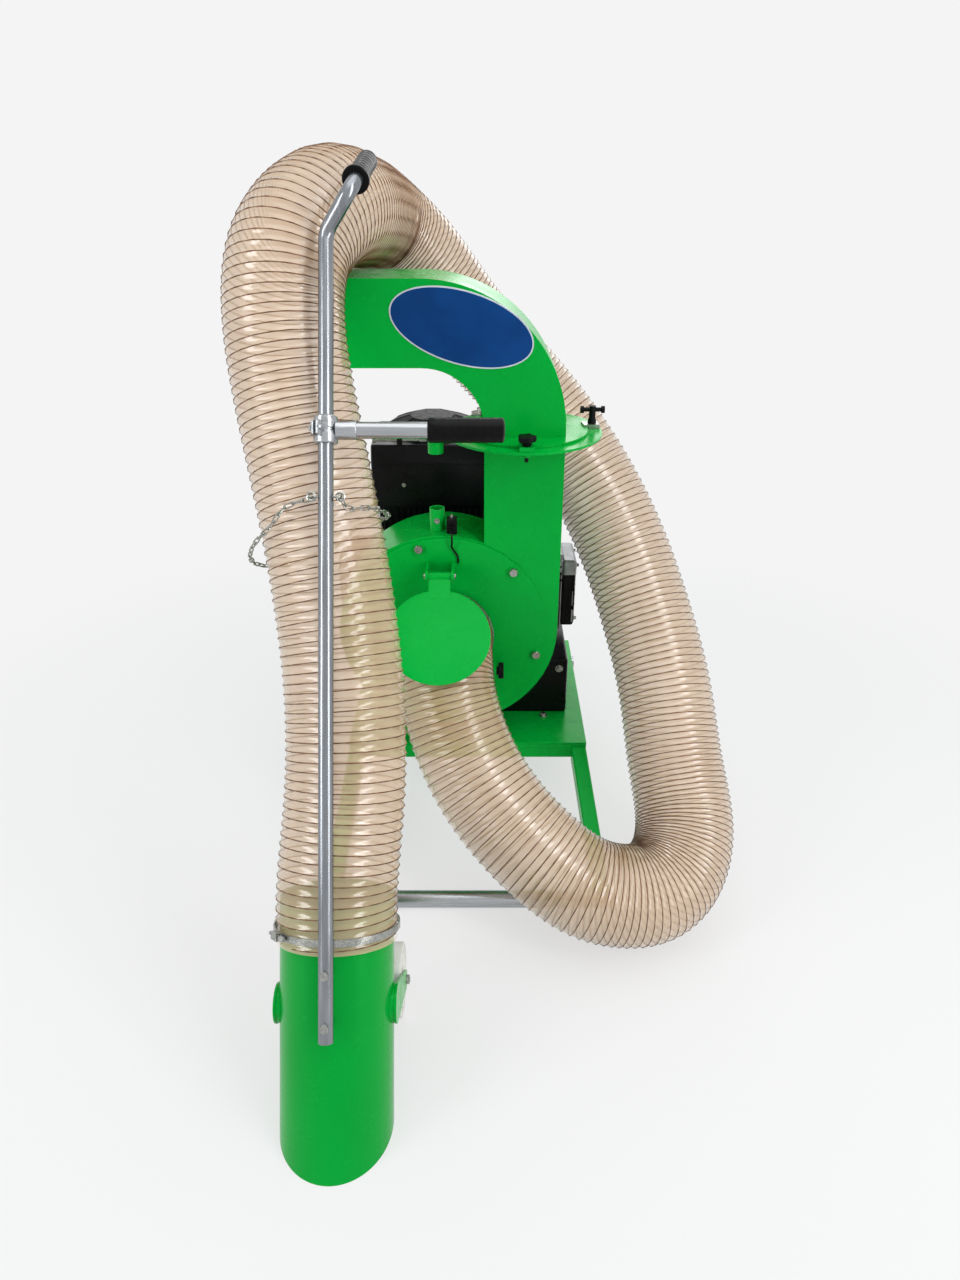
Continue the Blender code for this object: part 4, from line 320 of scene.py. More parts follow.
bright_zinc = surface("bright_zinc_plating", ("#8E908C", "#A9AAA4"), crystals(2.5 * MM), (1.4 * MM,),
                      0.015 * MM, 0.26, uneven=((30 * MM, 5.0), 0.08, 0.12), metallic=0.9)
# The standing tube's darker greys are painted shade, for the darker room that it reflects
upright_tube_painted_shade = drawn_tube("galvanised_upright_tube", "#7C7F83", "#8F9398", (1, 0.08, 0.05))
cross_tube = drawn_tube("galvanised_cross_tube", "#9FA2A5", "#B2B5B8", (0.05, 1, 1))
print("zinc:", bright_zinc.name, upright_tube_painted_shade.name, cross_tube.name)

# %% [markdown]
# ### Cast aluminium
#
# The cylinder and the head are sand and die castings, and the same finish paints the light cap and the two
# highlight strips on the rocker cover. They keep the mould's fine pits, about 1 mm across, and dull to a soft
# grey. A polished metal would reflect the whole room, so the pits are cut deep.

# %% Cast aluminium
cast_aluminium = surface("cast_aluminium", ("#8E9092", "#A9ABAC"), (18 * MM, 5.0), (1.1 * MM, 3.0),
                         0.08 * MM, 0.5, metallic=0.85)
print("casting:", cast_aluminium.name)

# %% [markdown]
# ### Moulded plastics and rubber
#
# Grips, knobs and tank are moulded in spark eroded tools, which leave an even matt texture about 0.8 mm
# across. The wheels are cast nylon, so theirs is a little coarser. The blacks stay above pure black, so that
# their shapes still read, and their sheen is low.

# %% Moulded plastics and rubber
MOULDED_SHEEN, BLACK_SHEEN = 0.2, 0.1


def moulded(name, low, high, roughness, texture, depth, sheen=MOULDED_SHEEN):
    return surface(name, (low, high), (40 * MM, 3.0), (texture, 2.0), depth, roughness,
                   uneven=((12 * MM, 4.0), 0.06, 0.08), sockets={"Specular IOR Level": sheen})


black_rubber = moulded("moulded_black_rubber", "#060607", "#0C0C0D", 0.3, 0.9 * MM, 0.02 * MM, BLACK_SHEEN)
black_nylon = moulded("moulded_black_nylon", "#08080A", "#101012", 0.45, 0.8 * MM, 0.02 * MM, BLACK_SHEEN)
white_nylon = moulded("cast_white_nylon", "#D9D8D2", "#E6E5E0", 0.45, 1.2 * MM, 0.03 * MM)
red_abs = moulded("moulded_red_abs", "#A81212", "#B81A16", 0.35, 0.8 * MM, 0.02 * MM)
print("moulded:", black_rubber.name, black_nylon.name, white_nylon.name, red_abs.name)

# %% [markdown]
# ### Hose film and wire
#
# The hose wall is plasticised PVC film, extruded as a pale tan strip and welded round a coppered spring
# steel wire. Glass-like transmission would need a wall with two sides and bends what lies behind. The film
# is only 0.9 mm thick, so it is one skin with a constant opacity, and a clear coat gives it its wet gloss.

# %% Hose film and wire
hose_film = surface("plasticised_pvc_film", ("#D5B28B", "#E1C29D"), (120 * MM, 3.0), (5 * MM, 2.0),
                    0.012 * MM, 0.26,
                    sockets={"Alpha": 0.56, "IOR": 1.53, "Specular IOR Level": 0.4, "Coat Weight": 1.0,
                             "Coat Roughness": 0.12, "Coat IOR": 1.8})
copper_wire = surface("coppered_spring_wire", ("#5F3F29", "#765238"), (25 * MM, 3.0), (1.0 * MM,),
                      0.02 * MM, 0.4, metallic=0.5)
print("hose:", hose_film.name, copper_wire.name)

# %% [markdown]
# ### Anodised plate
#
# The chute's plate is anodised aluminium, dyed blue, with a bare pale rim. Rolled sheet keeps fine marks in
# one direction, which anodising doesn't hide, so the relief is squeezed upright. Its sheen is low, as a dyed
# layer is satin.

# %% Anodised plate
ROLLED = (0.8 * MM, 2.0, (1, 1, 12))
blue_anodised = surface("blue_anodised_aluminium", ("#053A76", "#084384"), (60 * MM, 3.0), ROLLED,
                        0.01 * MM, 0.3, metallic=0.1, sockets={"Specular IOR Level": 0.12})
pale_anodised = surface("bare_anodised_rim", ("#C4CCD6", "#D4DAE2"), (30 * MM, 3.0), ROLLED, 0.01 * MM, 0.32,
                        metallic=0.6)
print("plate:", blue_anodised.name, pale_anodised.name)

# %% [markdown]
# ## The CAD's own pieces
#
# Pieces whose CAD shape is already right keep it and only get a finish. They come as loose flat triangles,
# which would show every facet of the scroll. Modifiers join and smooth them without touching the CAD's own
# points, and keep each real edge sharp.

# %% Give every CAD node its finish
FINISHES = {
    "green_paint": green_powder_coat, "black_paint": black_enamel, "black_rubber": black_rubber,
    "black_plastic": black_nylon, "galvanised": cross_tube, "zinc": bright_zinc,
    "cast_aluminium": cast_aluminium, "white_nylon": white_nylon, "clear_hose": hose_film,
    "red_plastic": red_abs,
}
SMOOTH_ANGLE = math.radians(32)
WELD_GAP = 0.005 * MM


def soften(node):
    flat = node.data.attributes.get("custom_normal")
    if flat:
        node.data.attributes.remove(flat)
    node.data.shade_smooth()
    node.modifiers.new("weld", "WELD").merge_threshold = WELD_GAP
    node.modifiers.new("edges", "EDGE_SPLIT").split_angle = SMOOTH_ANGLE
    node.modifiers.new("even", "WEIGHTED_NORMAL").keep_sharp = True


for part in frame["record"]["subparts"]:
    node = nodes[part["node"]]
    node.data.materials.clear()
    node.data.materials.append(FINISHES[part["material_slot"]])
    soften(node)

# %% [markdown]
# ## Helpers for new pieces
#
# New pieces are built in the same frame as the CAD, in metres. Each one names the body it rides on, its
# finish, and the CAD nodes that it stands for. Most are rows of points joined by quads, which is how a
# turned or rolled piece is laid out. Blender's own primitives would be quicker, but their edges are dead
# sharp and catch no light.

# %% Keeping a piece
def smooth(mesh):
    mesh.shade_smooth()
    mesh.set_sharp_from_angle(angle=SMOOTH_ANGLE)


def keep(name, data, slot, body="stand", replaced=(), finish=None):
    """An object from a mesh or a curve, on its body. It takes its slot's finish unless it has its own."""
    piece = bpy.data.objects.new(name, data)
    bpy.context.scene.collection.objects.link(piece)
    data.materials.append(finish or FINISHES[slot])
    if isinstance(data, bpy.types.Mesh):
        smooth(data)
    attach(piece, body)
    if replaced:
        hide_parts(*replaced)
    return piece


def mesh_of(bm, name):
    """The finished mesh, with every face turned outwards."""
    bmesh.ops.recalc_face_normals(bm, faces=bm.faces)
    mesh = bpy.data.meshes.new(name)
    bm.to_mesh(mesh)
    bm.free()
    return mesh


def keep_built(name, bm, slot, body="stand", replaced=(), finish=None):
    return keep(name, mesh_of(bm, name), slot, body, replaced, finish)


print("slots with a finish:", len(FINISHES))

# %% Rows of points
WELD_POINTS, FLAT_EDGES = 0.01 * MM, 0.005 * MM


def circle(count):
    """The angles of even steps round a circle."""
    return [2 * math.pi * k / count for k in range(count)]


def join_rows(bm, rows, ring=False):
    """Quads from each row of points to the next, and for a ring from the last row back to the first."""
    for row, after in zip(rows, rows[1:] + (rows[:1] if ring else [])):
        for k in range(len(row)):
            m = (k + 1) % len(row)
            bm.faces.new((row[k], row[m], after[m], after[k]))


def join_solid(bm, rows):
    """Rows joined, with a face over each end."""
    join_rows(bm, rows)
    bm.faces.new(list(reversed(rows[0])))
    bm.faces.new(rows[-1])


def turned(profile, steps, place):
    """A closed profile of (radius, height) pairs turned about its own Z, then placed."""
    bm = bmesh.new()
    rows = [[bm.verts.new((r * math.cos(a), r * math.sin(a), h)) for r, h in profile] for a in circle(steps)]
    join_rows(bm, rows, ring=True)
    bmesh.ops.remove_doubles(bm, verts=bm.verts, dist=WELD_POINTS)
    bmesh.ops.dissolve_degenerate(bm, edges=bm.edges, dist=FLAT_EDGES)
    bmesh.ops.transform(bm, matrix=place, verts=bm.verts)
    return bm


def along(place, way):
    """A placing whose local Z points along way."""
    return Matrix.Translation(place) @ Vector(way).to_track_quat("Z", "Y").to_matrix().to_4x4()


def wire(points, radius, name, resolution):
    """A round bar along the points."""
    curve = bpy.data.curves.new(name, "CURVE")
    curve.dimensions = "3D"
    curve.bevel_depth = radius
    curve.bevel_resolution = resolution
    curve.use_fill_caps = True
    path = curve.splines.new("POLY")
    path.points.add(len(points) - 1)
    path.points.foreach_set("co", np.column_stack([np.array(points), np.ones(len(points))]).ravel())
    path.use_smooth = True
    return curve


print("points closer than", WELD_POINTS / MM, "mm are joined")

# %% [markdown]
# ## Suction hose
#
# The hose is a steel wire spring inside a film tube. The film is drawn in between the turns, so the wall is
# a soft screw thread. A displaced cylinder would smear at the bends, so the wall is laid out ring by ring
# along the route, with the thread worked into each ring's radius, and the wire follows the crests.

# %% Routes through points
SPLINE_STEPS = 24


def run_along(path):
    """The distance from a path's start to each of its points."""
    return np.concatenate([[0], np.cumsum(np.linalg.norm(np.diff(path, axis=0), axis=1))])


def smooth_route(points, first_way, last_way, spacing):
    """A cubic spline through the points, with its end directions given, read at even steps."""
    places = np.array([tuple(point) for point in points])
    steps = np.linalg.norm(np.diff(places, axis=0), axis=1)
    slopes = np.diff(places, axis=0) / steps[:, None]
    count = len(places)
    matrix, known = np.zeros((count, count)), np.zeros((count, 3))
    matrix[0, :2] = 2 * steps[0], steps[0]
    known[0] = 6 * (slopes[0] - np.array(first_way))
    matrix[-1, -2:] = steps[-1], 2 * steps[-1]
    known[-1] = 6 * (np.array(last_way) - slopes[-1])
    for i in range(1, count - 1):
        matrix[i, i - 1:i + 2] = steps[i - 1], 2 * (steps[i - 1] + steps[i]), steps[i]
        known[i] = 6 * (slopes[i] - slopes[i - 1])
    bends = np.linalg.solve(matrix, known)
    fine = []
    for i, step in enumerate(steps):
        for ahead in np.linspace(0, 1, SPLINE_STEPS, endpoint=False):
            back = 1 - ahead
            fine.append(back * places[i] + ahead * places[i + 1] + step ** 2 / 6
                        * ((back ** 3 - back) * bends[i] + (ahead ** 3 - ahead) * bends[i + 1]))
    fine = np.array(fine + [places[-1]])
    run = run_along(fine)
    marks = np.linspace(0, run[-1], int(round(run[-1] / spacing)) + 1)
    return np.column_stack([np.interp(marks, run, fine[:, axis]) for axis in range(3)])


def carried_frames(path):
    """Unit tangents of a path, with two across directions carried along it without twist."""
    ways = np.gradient(path, axis=0)
    ways /= np.linalg.norm(ways, axis=1)[:, None]
    across = np.zeros_like(path)
    first = np.cross(ways[0], RIGHT)
    across[0] = first / np.linalg.norm(first)
    for i in range(1, len(path)):
        carried = across[i - 1] - ways[i] * np.dot(across[i - 1], ways[i])
        across[i] = carried / np.linalg.norm(carried)
    return ways, across, np.cross(ways, across)


print("points on each stretch of a spline:", SPLINE_STEPS)

# %% The hose's route
# A name that ends in _S is a length up the lance, from where its axis meets the floor
LANCE_LEAN = math.radians(28.5)
LANCE_UP = Vector((0, math.sin(LANCE_LEAN), math.cos(LANCE_LEAN)))
LANCE_BACK = Vector((0, math.cos(LANCE_LEAN), -math.sin(LANCE_LEAN)))
LANCE_FOOT = Vector((-0.3018, -0.739, 0))
HOSE_START_S, NOZZLE_TOP_S, PAST_NOZZLE = 0.322, 0.398, 2 * MM
INLET_END, INLET_RUN = Vector((-0.1318, 0.092, 0.517)), 0.024

HOSE_ROUTE = [
    (-0.292, -0.483, 0.464), (-0.288, -0.398, 0.619), (-0.307, -0.306, 0.791),
    (-0.342, -0.213, 0.963), (-0.376, -0.137, 1.113), (-0.392, -0.080, 1.242),
    (-0.381, -0.024, 1.332), (-0.343, 0.057, 1.382), (-0.305, 0.216, 1.382),
    (-0.265, 0.377, 1.343), (-0.201, 0.434, 1.276), (-0.100, 0.462, 1.143),
    (0.047, 0.459, 0.985), (0.172, 0.405, 0.838), (0.269, 0.309, 0.682),
    (0.332, 0.184, 0.527), (0.369, 0.051, 0.386), (0.383, -0.065, 0.268),
    (0.391, -0.172, 0.176), (0.353, -0.258, 0.126), (0.298, -0.301, 0.114),
    (0.235, -0.315, 0.120), (0.173, -0.311, 0.136), (0.104, -0.283, 0.168),
    (0.012, -0.224, 0.233), (-0.060, -0.158, 0.310), (-0.108, -0.093, 0.402),
    (-0.127, -0.046, 0.468), (-0.1315, 0.008, 0.508)]

HOSE_STEP = 2.1 * MM
hose_start = LANCE_FOOT + LANCE_UP * HOSE_START_S
hose_near = LANCE_FOOT + LANCE_UP * (NOZZLE_TOP_S + PAST_NOZZLE)
bend_end = INLET_END - Vector((0, INLET_RUN, 0))
hose_path = smooth_route([hose_start, hose_near] + HOSE_ROUTE + [bend_end], LANCE_UP, BACK, HOSE_STEP)
last_run = [(INLET_END.x, y, INLET_END.z) for y in np.arange(bend_end.y + HOSE_STEP, INLET_END.y, HOSE_STEP)]
hose_path = np.vstack([hose_path, last_run])
hose_run = run_along(hose_path)
hose_across, hose_side = carried_frames(hose_path)[1:]
print("hose length:", round(hose_run[-1], 3), "m in", len(hose_path), "rings")

# %% The film wall
# The turns crowd together over the top, in the floor bend and at the collar, and spread where the hose
# hangs straight. The wall's radius is highest on the wire's screw line and lowest half a pitch away.
HOSE_SIDES = 48
FILM_CREST, FILM_SAG, SAG_POWER = 104.6 * MM, 2.2 * MM, 0.8
PITCH_AT = (0.0, 0.15, 0.22, 0.28, 0.42, 0.49, 0.55, 0.60, 0.69, 0.73, 0.78, 0.83, 0.87, 0.935, 0.96, 1.0)
PITCHES = (17.0, 17.0, 16.4, 13.0, 12.4, 13.4, 16.8, 16.4, 16.0, 13.2, 10.8, 11.4, 17.8, 18.6, 11.0, 9.8)

run_pitch = np.interp(hose_run / hose_run[-1], PITCH_AT, PITCHES) * MM
per_metre = 1 / run_pitch
hose_turns = np.concatenate([[0], np.cumsum(np.diff(hose_run) * (per_metre[1:] + per_metre[:-1]) / 2)])
angles = np.linspace(0, 2 * math.pi, HOSE_SIDES, endpoint=False)[None, :]
phase = 2 * math.pi * hose_turns[:, None] - angles
radius = (FILM_CREST - FILM_SAG * (0.5 - 0.5 * np.cos(phase)) ** SAG_POWER)[:, :, None]
rings = hose_path[:, None, :] + radius * (np.cos(angles)[:, :, None] * hose_across[:, None, :]
                                          + np.sin(angles)[:, :, None] * hose_side[:, None, :])
faces = []
for first in range(0, (len(hose_path) - 1) * HOSE_SIDES, HOSE_SIDES):
    for j in range(HOSE_SIDES):
        k = (j + 1) % HOSE_SIDES
        faces.append((first + j, first + k, first + HOSE_SIDES + k, first + HOSE_SIDES + j))
film_mesh = bpy.data.meshes.new("hose_film_wall")
film_mesh.from_pydata(rings.reshape(-1, 3).tolist(), [], faces)
keep("hose_film_wall", film_mesh, "clear_hose", replaced=["suction_hose"])
print("film faces:", len(faces))

# %% The wire helix
WIRE_CENTRE, WIRE_RADIUS = 104.7 * MM, 1.1 * MM
WIRE_POINTS_PER_TURN = 22
WIRE_END_TURNS = 0.4


def read_at(marks, rows):
    """Rows of three numbers along the hose, read at other distances."""
    return np.column_stack([np.interp(marks, hose_run, rows[:, k]) for k in range(3)])


wire_turns = np.arange(WIRE_END_TURNS, hose_turns[-1] - WIRE_END_TURNS, 1 / WIRE_POINTS_PER_TURN)
wire_marks = np.interp(wire_turns, hose_turns, hose_run)
wire_angles = (2 * math.pi * wire_turns)[:, None]
middles, across, side = (read_at(wire_marks, rows) for rows in (hose_path, hose_across, hose_side))
helix = middles + WIRE_CENTRE * (np.cos(wire_angles) * across + np.sin(wire_angles) * side)
keep("hose_wire_helix", wire(helix, WIRE_RADIUS, "hose_wire_helix", 1), "zinc", finish=copper_wire)
print("wire turns:", int(len(helix) / WIRE_POINTS_PER_TURN))

# %% [markdown]
# ## Nozzle
#
# The nozzle is rolled sheet steel tube with its mouth cut level with the floor. The CAD node is right but
# has few sides, and it stands nearest to the camera. A bevel on a cylinder would do for a square end, but
# the level mouth needs each point at its own height, so the wall is laid out in rows from the mouth up.

# %% Nozzle tube
NOZZLE_RADIUS, NOZZLE_WALL, NOZZLE_SIDES = 98 * MM, 2.5 * MM, 128
NOZZLE_SHARES = (0.0, 0.004, 0.02, 0.3, 0.65, 0.985, 1.0)
lance = Matrix.Translation(LANCE_FOOT) @ Matrix.Rotation(-LANCE_LEAN, 4, "X")

bm = bmesh.new()
walls = []
for radius in (NOZZLE_RADIUS, NOZZLE_RADIUS - NOZZLE_WALL):
    rows = []
    for share in NOZZLE_SHARES:
        row = []
        for a in circle(NOZZLE_SIDES):
            mouth = radius * math.sin(a) * math.tan(LANCE_LEAN)
            height = mouth + (NOZZLE_TOP_S - mouth) * share
            row.append(bm.verts.new((radius * math.cos(a), radius * math.sin(a), height)))
        rows.append(row)
    join_rows(bm, rows)
    walls.append(rows)
outer, inner = walls
for end in (0, -1):
    join_rows(bm, [outer[end], inner[end]])
bmesh.ops.transform(bm, matrix=lance, verts=bm.verts)
# The nozzle wears the green coat with painted shade
keep_built("nozzle_tube", bm, "green_paint", replaced=["nozzle"], finish=nozzle_coat_painted_shade)

# %% [markdown]
# ## Lance pole and grips
#
# The pole is one drawn tube, bent at the shoulder. A bevelled curve through rounded corners gives it an
# even section. Both grips are moulded rubber, slipped over their tubes: the end grip has a guard ring, and
# both carry shallow rings for the fingers, which are turned as part of the profile.

# %% Lance pole
POLE_RADIUS, POLE_BEND_RADIUS = 12.5 * MM, 30 * MM
POLE_OFFSET = 121.8 * MM
POLE_BOTTOM_S, POLE_BEND_S = 0.192, 1.492
POLE_SHOULDER = Vector((0.0484, -0.0193, 0.0672))
GRIP_RUN = Vector((0.0117, 0.1401, 0.0330))
BEND_STEPS, POLE_IN_GRIP, POLE_SIDES_LEVEL = 12, 8 * MM, 8


def rounded_path(corners, radius, steps):
    """Corner points joined by straight runs, with each inner corner rounded."""
    path = [corners[0]]
    for before, corner, after in zip(corners, corners[1:], corners[2:]):
        into, out = (corner - before).normalized(), (after - corner).normalized()
        turn = into.angle(out)
        centre = corner + (out - into).normalized() * radius / math.cos(turn / 2)
        start = corner - into * radius * math.tan(turn / 2) - centre
        axis = into.cross(out).normalized()
        path += [centre + Matrix.Rotation(turn * step / steps, 3, axis) @ start for step in range(steps + 1)]
    return path + [corners[-1]]


def on_pole(s):
    """The point of the pole's axis that is s up the lance."""
    return LANCE_FOOT - LANCE_BACK * POLE_OFFSET + LANCE_UP * s


shoulder = on_pole(POLE_BEND_S) + POLE_SHOULDER
grip_end = shoulder + GRIP_RUN
pole_path = rounded_path([on_pole(POLE_BOTTOM_S), on_pole(POLE_BEND_S), shoulder,
                          grip_end - GRIP_RUN.normalized() * POLE_IN_GRIP], POLE_BEND_RADIUS, BEND_STEPS)
keep("lance_pole_tube", wire(pole_path, POLE_RADIUS, "lance_pole_tube", POLE_SIDES_LEVEL), "galvanised",
     replaced=["lance_pole"], finish=upright_tube_painted_shade)
print("pole length:", round(sum((b - a).length for a, b in zip(pole_path, pole_path[1:])), 3), "m")

# %% Grips
GRIP_RING_DEPTH, GRIP_STEPS = 0.3 * MM, 48
CLOSED_RADIUS = 0.1 * MM


def ribbed_grip(length, radius, ring, guard, place):
    """A closed end, a ringed body and a guard at its open end. The open end is at height 0."""
    profile = [(CLOSED_RADIUS, length), (radius * 0.55, length), (radius * 0.85, length - 1.2 * MM),
               (radius, length - 4 * MM)]
    height = length - 8 * MM
    while height > 22 * MM:
        low = radius - GRIP_RING_DEPTH
        profile += [(radius, height), (low, height - ring * 0.35), (low, height - ring * 0.65),
                    (radius, height - ring)]
        height -= ring * 1.6
    if guard > radius:
        profile += [(radius, 11 * MM), (guard - 1 * MM, 9.5 * MM), (guard, 8 * MM), (guard, 1.5 * MM),
                    (guard - 1.5 * MM, 0)]
    else:
        profile += [(radius, 4 * MM), (radius - 1.5 * MM, 0.3 * MM)]
    profile.append((CLOSED_RADIUS, 0.3 * MM))
    return turned(profile, GRIP_STEPS, place)


END_GRIP_LENGTH, END_GRIP_R, END_GUARD_R = 113 * MM, 17 * MM, 22 * MM
end_place = along(grip_end - GRIP_RUN.normalized() * END_GRIP_LENGTH, GRIP_RUN)
keep_built("end_grip_sleeve", ribbed_grip(END_GRIP_LENGTH, END_GRIP_R, 7 * MM, END_GUARD_R, end_place),
           "black_rubber", replaced=["end_grip"])

SIDE_S, SIDE_GRIP_OUT = 1.174, 0.1635
SIDE_GRIP_LENGTH, SIDE_GRIP_R = 124 * MM, 20 * MM
side_centre = on_pole(SIDE_S)
side_place = along(side_centre + Vector((SIDE_GRIP_OUT, 0, 0)), RIGHT)
keep_built("side_grip_sleeve", ribbed_grip(SIDE_GRIP_LENGTH, SIDE_GRIP_R, 8 * MM, SIDE_GRIP_R, side_place),
           "black_rubber", "side_handle", ["side_grip"])
print("grips at", tuple(round(c, 3) for c in grip_end), tuple(round(c, 3) for c in side_centre))

# %% [markdown]
# ## Chain
#
# A short welded chain slings the hose from the pole's eye bolt. The CAD only holds a bar along its line.
# Each link is an oval ring, and each next link is turned a quarter round the line, as real links hang. An
# array along a curve would stretch the links, so each one is placed by itself.

# %% The chain's line
CHAIN_S = 1.0676
CHAIN_EYE_OUT, CHAIN_EYE_RUN, CHAIN_EYE_LOW = 23.5 * MM, 7 * MM, 1.1 * MM
CHAIN_LOOP_RADIUS, CHAIN_LOOP_LOW, CHAIN_CENTRE_X = 118 * MM, 12 * MM, -30 * MM
CHAIN_LOOP_STEPS = 18
CHAIN_DROP, CHAIN_DROP_SHARE, CHAIN_DROP_POWER = 85 * MM, 0.62, 0.8
CHAIN_LEFT_TURN, CHAIN_RIGHT_TURN = 256.0, -60.0

eye_y, eye_s = -POLE_OFFSET, CHAIN_S - CHAIN_EYE_LOW
loop = []
for step in range(CHAIN_LOOP_STEPS + 1):
    share = step / CHAIN_LOOP_STEPS
    turn = math.radians(CHAIN_LEFT_TURN - (CHAIN_LEFT_TURN - CHAIN_RIGHT_TURN) * share)
    sag = CHAIN_DROP * math.sin(math.pi * min(share / CHAIN_DROP_SHARE, 1)) ** CHAIN_DROP_POWER
    loop.append(Vector((CHAIN_CENTRE_X + CHAIN_LOOP_RADIUS * math.cos(turn),
                        CHAIN_LOOP_RADIUS * math.sin(turn), CHAIN_S - CHAIN_LOOP_LOW - sag)))
left_eye = [Vector((-CHAIN_EYE_OUT, eye_y + step, eye_s)) for step in (-CHAIN_EYE_RUN, CHAIN_EYE_RUN)]
right_eye = [Vector((CHAIN_EYE_OUT, eye_y + step, eye_s)) for step in (CHAIN_EYE_RUN, -CHAIN_EYE_RUN)]
chain_line = smooth_route(left_eye + loop + right_eye, BACK, FRONT, 1 * MM)
chain_run = run_along(chain_line)
chain_frames = carried_frames(chain_line)
print("chain:", round(chain_run[-1], 3), "m")

# %% Chain links
LINK_PITCH, LINK_WIRE, LINK_HALF_WIDTH = 15.5 * MM, 1.25 * MM, 3.4 * MM
LINK_LAP = 1.6
LINK_STEPS, LINK_SIDES = 18, 7


def link_ring(bm, place):
    """One oval link in its own XZ plane, long way on Z."""
    half_run = LINK_PITCH / 2 + LINK_WIRE * LINK_LAP - LINK_HALF_WIDTH
    rings = []
    for turn in circle(LINK_STEPS):
        out = Vector((math.cos(turn), 0, math.sin(turn)))
        centre = out * LINK_HALF_WIDTH
        centre.z += half_run if math.sin(turn) >= 0 else -half_run
        around = [out * math.cos(a) + Vector(BACK) * math.sin(a) for a in circle(LINK_SIDES)]
        rings.append([bm.verts.new(place @ (centre + LINK_WIRE * way)) for way in around])
    join_rows(bm, rings, ring=True)


link_count = int(chain_run[-1] / LINK_PITCH)
bm = bmesh.new()
for link in range(link_count):
    i = int(np.searchsorted(chain_run, (link + 0.5) * chain_run[-1] / link_count))
    way, first, second = (Vector(v[i]) for v in chain_frames)
    x_way, y_way = (first, second) if link % 2 else (second, -first)
    place = Matrix([x_way, y_way, way]).transposed().to_4x4()
    place.translation = Vector(chain_line[i])
    link_ring(bm, lance @ place)
keep_built("chain_links", bm, "zinc", replaced=["hose_chain"])
print("links:", link_count)

# %% [markdown]
# ## Oval plate on the chute
#
# The chute carries an oval plate, tilted a little as it was stuck on. Here it is plain: a blue field inside
# a pale rim. One disc with two colours would blur where they meet, so the field is a second, smaller disc
# on the rim's.

# %% Oval plate
PLATE_CENTRE = Vector((-0.089, 0.1035, 1.180))
PLATE_HALF_X, PLATE_HALF_Z = 144 * MM, 69 * MM
PLATE_TILT = math.radians(-16)
PLATE_RIM, PLATE_THICK = 3 * MM, 0.8 * MM
FIELD_SUNK, FIELD_PROUD = 0.1 * MM, 0.25 * MM
PLATE_EASE_DOWN, PLATE_EASE_IN = 0.2 * MM, 0.25 * MM
PLATE_STEPS = 96


def oval_disc(inset, low, high):
    """An oval with its face towards the camera's side, its edge eased."""
    tilt = Matrix.Rotation(PLATE_TILT, 2)
    bm = bmesh.new()
    rows = []
    for edge, depth in ((inset, low), (inset, high - PLATE_EASE_DOWN), (inset + PLATE_EASE_IN, high)):
        row = []
        for a in circle(PLATE_STEPS):
            x, z = tilt @ Vector(((PLATE_HALF_X - edge) * math.cos(a), (PLATE_HALF_Z - edge) * math.sin(a)))
            row.append(bm.verts.new(PLATE_CENTRE + Vector((x, -depth, z))))
        rows.append(row)
    join_solid(bm, rows)
    return bm


keep_built("oval_plate_rim", oval_disc(0, 0, PLATE_THICK), "cast_aluminium", "chute", finish=pale_anodised)
keep_built("oval_plate_field", oval_disc(PLATE_RIM, PLATE_THICK - FIELD_SUNK, PLATE_THICK + FIELD_PROUD),
           "cast_aluminium", "chute", finish=blue_anodised)
print("oval plate:", 2 * PLATE_HALF_X, "by", 2 * PLATE_HALF_Z, "m")

# %% [markdown]
# ## Fixings
#
# The cover, the riser and the rocker cover are held by plated hex bolts on washers. A bolt head could be a
# plain prism, but the chamfer round its top is what catches the light, so each one is drawn with it.

# %% Hex bolts
WASHER_EASE, BOLT_STEPS = 0.3 * MM, 24
BOLT_FIRST_TURN, BOLT_NEXT_TURN = 0.4, 0.7
CHAMFER_DEPTH, CHAMFER_DROP, CHAMFER_TOP = 0.07, 0.05, 0.93


def add_bolt(bm, place, way, head, washer_thick=2.2 * MM, turn=0.0):
    """A washer and a chamfered hex head standing on a surface. head is flats, height and washer radius."""
    flats, height, washer_r = head
    half, sixth = flats / 2, math.pi / 3
    corner = half / math.cos(sixth / 2)
    to_world = along(place, way) @ Matrix.Rotation(turn, 4, "Z")
    rows = [[(a, washer_r, 0) for a in circle(BOLT_STEPS)],
            [(a, washer_r, washer_thick - WASHER_EASE) for a in circle(BOLT_STEPS)],
            [(a, washer_r - WASHER_EASE, washer_thick) for a in circle(BOLT_STEPS)]]
    hexagon = [(a, half / math.cos((a + sixth / 2) % sixth - sixth / 2)) for a in circle(BOLT_STEPS)]
    top = washer_thick + height
    rows.append([(a, size, washer_thick) for a, size in hexagon])
    rows.append([(a, size, top - flats * (CHAMFER_DEPTH + CHAMFER_DROP * (size - half) / (corner - half)))
                 for a, size in hexagon])
    rows.append([(a, half * CHAMFER_TOP, top) for a in circle(BOLT_STEPS)])
    made = [[bm.verts.new(to_world @ Vector((size * math.cos(a), size * math.sin(a), low)))
             for a, size, low in row] for row in rows]
    join_solid(bm, made)


def bolts(name, places, way, head):
    """Bolts of one size, each tightened to its own angle."""
    bm = bmesh.new()
    for index, place in enumerate(places):
        add_bolt(bm, place, way, head, turn=BOLT_FIRST_TURN + BOLT_NEXT_TURN * index)
    keep_built(name, bm, "zinc")


# Flats, height and washer radius of each size in use
COVER_HEAD = (17.4 * MM, 7.4 * MM, 9 * MM)
M8_HEAD = (13 * MM, 6 * MM, 10 * MM)
M5_HEAD = (8 * MM, 5 * MM, 6.5 * MM)
SOCKET_HEAD = (8 * MM, 5 * MM, 6 * MM)
SCREW_HEAD = (6 * MM, 2.4 * MM, 5 * MM)
print("cover bolts:", COVER_HEAD[0] / MM, "mm across flats")

